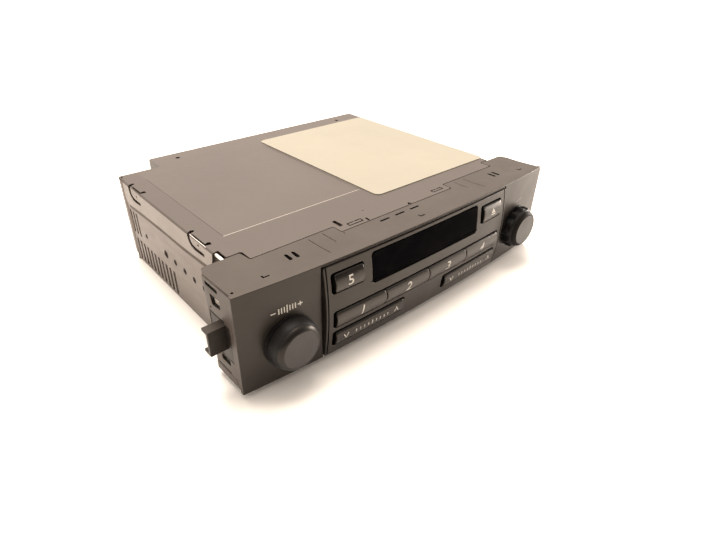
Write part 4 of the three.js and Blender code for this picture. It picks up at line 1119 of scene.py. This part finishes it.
def make_legends():
    def on_key(z0, z1):
        zc, h = (z0 + z1) / 2, (z1 - z0) / 2
        return lambda x, z: key_front(x, z, zc, h)

    for i in range(4):
        xc = (ROW_X[i] + ROW_X[i + 1]) / 2
        legend(f"mode_sign_{i + 1}", [glyph(str(i + 1), xc, 19.1, 4.4, 0.22, 1.15)], on_key(*ROW_Z), f"mode_key_{i + 1}")
    legend("assist_sign", [glyph("5", -49.3, 37.2, 4.5, 0.0, 1.1)], on_key(TA[2], TA[3]), "assist_key")
    ex, ez = 49.2, 37.5
    legend("eject_sign", [[(ex - 1.9, ez - 0.5), (ex + 1.9, ez - 0.5), (ex, ez + 1.7)], [(ex - 1.9, ez - 1.6), (ex + 1.9, ez - 1.6), (ex + 1.9, ez - 1.0), (ex - 1.9, ez - 1.0)]],
           on_key(EJ[2], EJ[3]), "eject_key")
    for name, (x0, x1, z0, z1) in zip(("rocker_left", "rocker_right"), RK):
        zc = (z0 + z1) / 2
        w = 0.5
        shapes = [stroke([(x0 + 4.2, zc + 1.1), (x0 + 5.5, zc - 1.1), (x0 + 6.8, zc + 1.1)], w),
                  stroke([(x1 - 6.8, zc - 1.1), (x1 - 5.5, zc + 1.1), (x1 - 4.2, zc - 1.1)], w)]
        xc = (x0 + x1) / 2
        for k in range(-4, 5):
            h = 1.2 if k == 0 else 0.8
            shapes.append([(xc + 2.4 * k - 0.26, zc - h), (xc + 2.4 * k + 0.26, zc - h), (xc + 2.4 * k + 0.26, zc + h), (xc + 2.4 * k - 0.26, zc + h)])
        legend(f"{name}_sign", shapes, on_key(z0 + 0.1, z1 - 0.1), name)
    face = lambda x, z: bow(x)
    z = 34.2
    shapes = [[(-86.2, z - 0.25), (-84.0, z - 0.25), (-84.0, z + 0.25), (-86.2, z + 0.25)],
              [(-74.0, z - 0.25), (-73.1, z - 0.25), (-73.1, z - 1.1), (-72.6, z - 1.1), (-72.6, z - 0.25), (-71.7, z - 0.25),
               (-71.7, z + 0.25), (-72.6, z + 0.25), (-72.6, z + 1.1), (-73.1, z + 1.1), (-73.1, z + 0.25), (-74.0, z + 0.25)]]
    for k in range(7):
        x = -82.6 + 1.25 * k
        h = 1.9 if k == 3 else 1.3
        shapes.append([(x - 0.25, z - h), (x + 0.25, z - h), (x + 0.25, z + h), (x - 0.25, z + h)])
    legend("left_scale", shapes, face, "chassis")
    legend("right_wedge", [[(74.4, 33.2), (83.2, 33.2), (83.2, 35.2)]], face, "chassis", mat="ink_worn")


make_cover()
make_label()
make_tray()
make_bezel()
make_panel()
make_keys()
make_flap()
make_knobs()
make_latches()
make_legends()

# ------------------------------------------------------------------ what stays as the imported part
INNER = {
    "display_cell": ("display", 0.15), "tune_shaft": ("alu", 0.2), "volume_shaft": ("alu", 0.2), "tune_encoder": ("tin", 0.2), "volume_encoder": ("tin", 0.2),
    "key_mat": ("rubber", 0.15), "front_board": ("board", 0.1), "main_board": ("board", 0.1), "tuner_can": ("tin", 0.3), "controller_chip": ("chip", 0.2),
    "filter_cap_large": ("black", 0.4), "filter_cap_small": ("black", 0.4), "heat_block": ("alu", 0.2), "power_amplifier": ("chip", 0.2),
    "power_speaker_socket": ("black", 0.2), "changer_socket": ("black", 0.2), "aerial_socket": ("tin", 0.2), "fuse": ("chip", 0.3), "deck_frame": ("inner", 0.12),
    "tape_carriage": ("inner", 0.12), "spindle_front": ("black", 0.15), "spindle_rear": ("black", 0.15), "flywheel_front": ("brass", 0.3), "flywheel_rear": ("brass", 0.3),
    "drive_motor": ("tin", 0.4), "motor_pulley": ("brass", 0.15), "drive_belt": ("rubber", 0.1), "head_slide": ("inner", 0.1), "tape_head": ("alu", 0.2),
    "pinch_arm_front": ("inner", 0.1), "pinch_arm_rear": ("inner", 0.1), "pinch_roller_front": ("rubber", 0.2), "pinch_roller_rear": ("rubber", 0.2),
}
for name, (m, w) in INNER.items():
    ob = nodes[name]
    for s in ob.material_slots:
        s.material = MAT[m]
    if not ob.material_slots:
        ob.data.materials.append(MAT[m])
    wd = ob.modifiers.new("weld", "WELD")
    wd.merge_threshold = 2e-6
    bv = ob.modifiers.new("edge", "BEVEL")
    bv.width = w / 1000
    bv.segments = 2
    bv.limit_method = "ANGLE"
    bv.angle_limit = math.radians(32)
    bv.use_clamp_overlap = True
    bv.harden_normals = False

# ------------------------------------------------------------------ floor, light
bm = new_bm()
n = 24
for i in range(n + 1):
    for j in range(n + 1):
        bm.verts.new((-3.0 + 6.0 * i / n, -3.0 + 6.0 * j / n, 0.0))
bm.verts.ensure_lookup_table()
for i in range(n):
    for j in range(n):
        a = i * (n + 1) + j
        bm.faces.new((bm.verts[a], bm.verts[a + n + 1], bm.verts[a + n + 2], bm.verts[a + 1]))
me = bpy.data.meshes.new("floor")
bm.to_mesh(me)
bm.free()
floor = bpy.data.objects.new("floor", me)
scene.collection.objects.link(floor)
k = Mat("floor_paper", (0.86, 0.84, 0.81), 0.75)
k.b.inputs["Specular IOR Level"].default_value = 0.2
k.color(k.mix(k.noise(6.0, 3.0), (0.85, 0.83, 0.80), (0.88, 0.86, 0.83)))
k.bump((k.noise(400.0, 3.0), 0.05, 0.0003))
me.materials.append(k.m)

world = bpy.data.worlds.new("world")
scene.world = world
world.use_nodes = True
wt = world.node_tree
bg = wt.nodes["Background"]
bg.inputs["Strength"].default_value = 1.15
tc = wt.nodes.new("ShaderNodeTexCoord")
dot = wt.nodes.new("ShaderNodeVectorMath")
dot.operation = "DOT_PRODUCT"
dot.inputs[1].default_value = (0.05, 0.72, 0.69)
wt.links.new(tc.outputs["Generated"], dot.inputs[0])
mr = wt.nodes.new("ShaderNodeMapRange")
mr.interpolation_type = "SMOOTHSTEP"
mr.inputs["From Min"].default_value = -0.45
mr.inputs["From Max"].default_value = 0.9
mr.inputs["To Min"].default_value = 0.0
mr.inputs["To Max"].default_value = 1.0
wt.links.new(dot.outputs["Value"], mr.inputs["Value"])
mx = wt.nodes.new("ShaderNodeMix")
mx.data_type = "RGBA"
mx.inputs[6].default_value = (0.22, 0.195, 0.172, 1)
mx.inputs[7].default_value = (1.42, 1.27, 1.13, 1)
wt.links.new(mr.outputs["Result"], mx.inputs[0])
wt.links.new(mx.outputs[2], bg.inputs["Color"])


def area(name, at, to, size, power, color):
    li = bpy.data.lights.new(name, "AREA")
    li.shape = "RECTANGLE"
    li.size, li.size_y = size
    li.energy = power
    li.color = color
    ob = bpy.data.objects.new(name, li)
    scene.collection.objects.link(ob)
    at, to = Vector(at), Vector(to)
    ob.matrix_world = Matrix.Translation(at) @ (to - at).to_track_quat("-Z", "Y").to_matrix().to_4x4()
    return ob


key_light = area("key_light", (0.45, 1.05, 3.6), (0, 0, 0.02), (2.0, 2.0), 270.0, (1.0, 0.91, 0.82))
fill_light = area("fill_light", (0.52, -0.17, 0.068), (0.10, -0.10, 0.025), (0.36, 0.12), 4.0, (1.0, 0.89, 0.80))
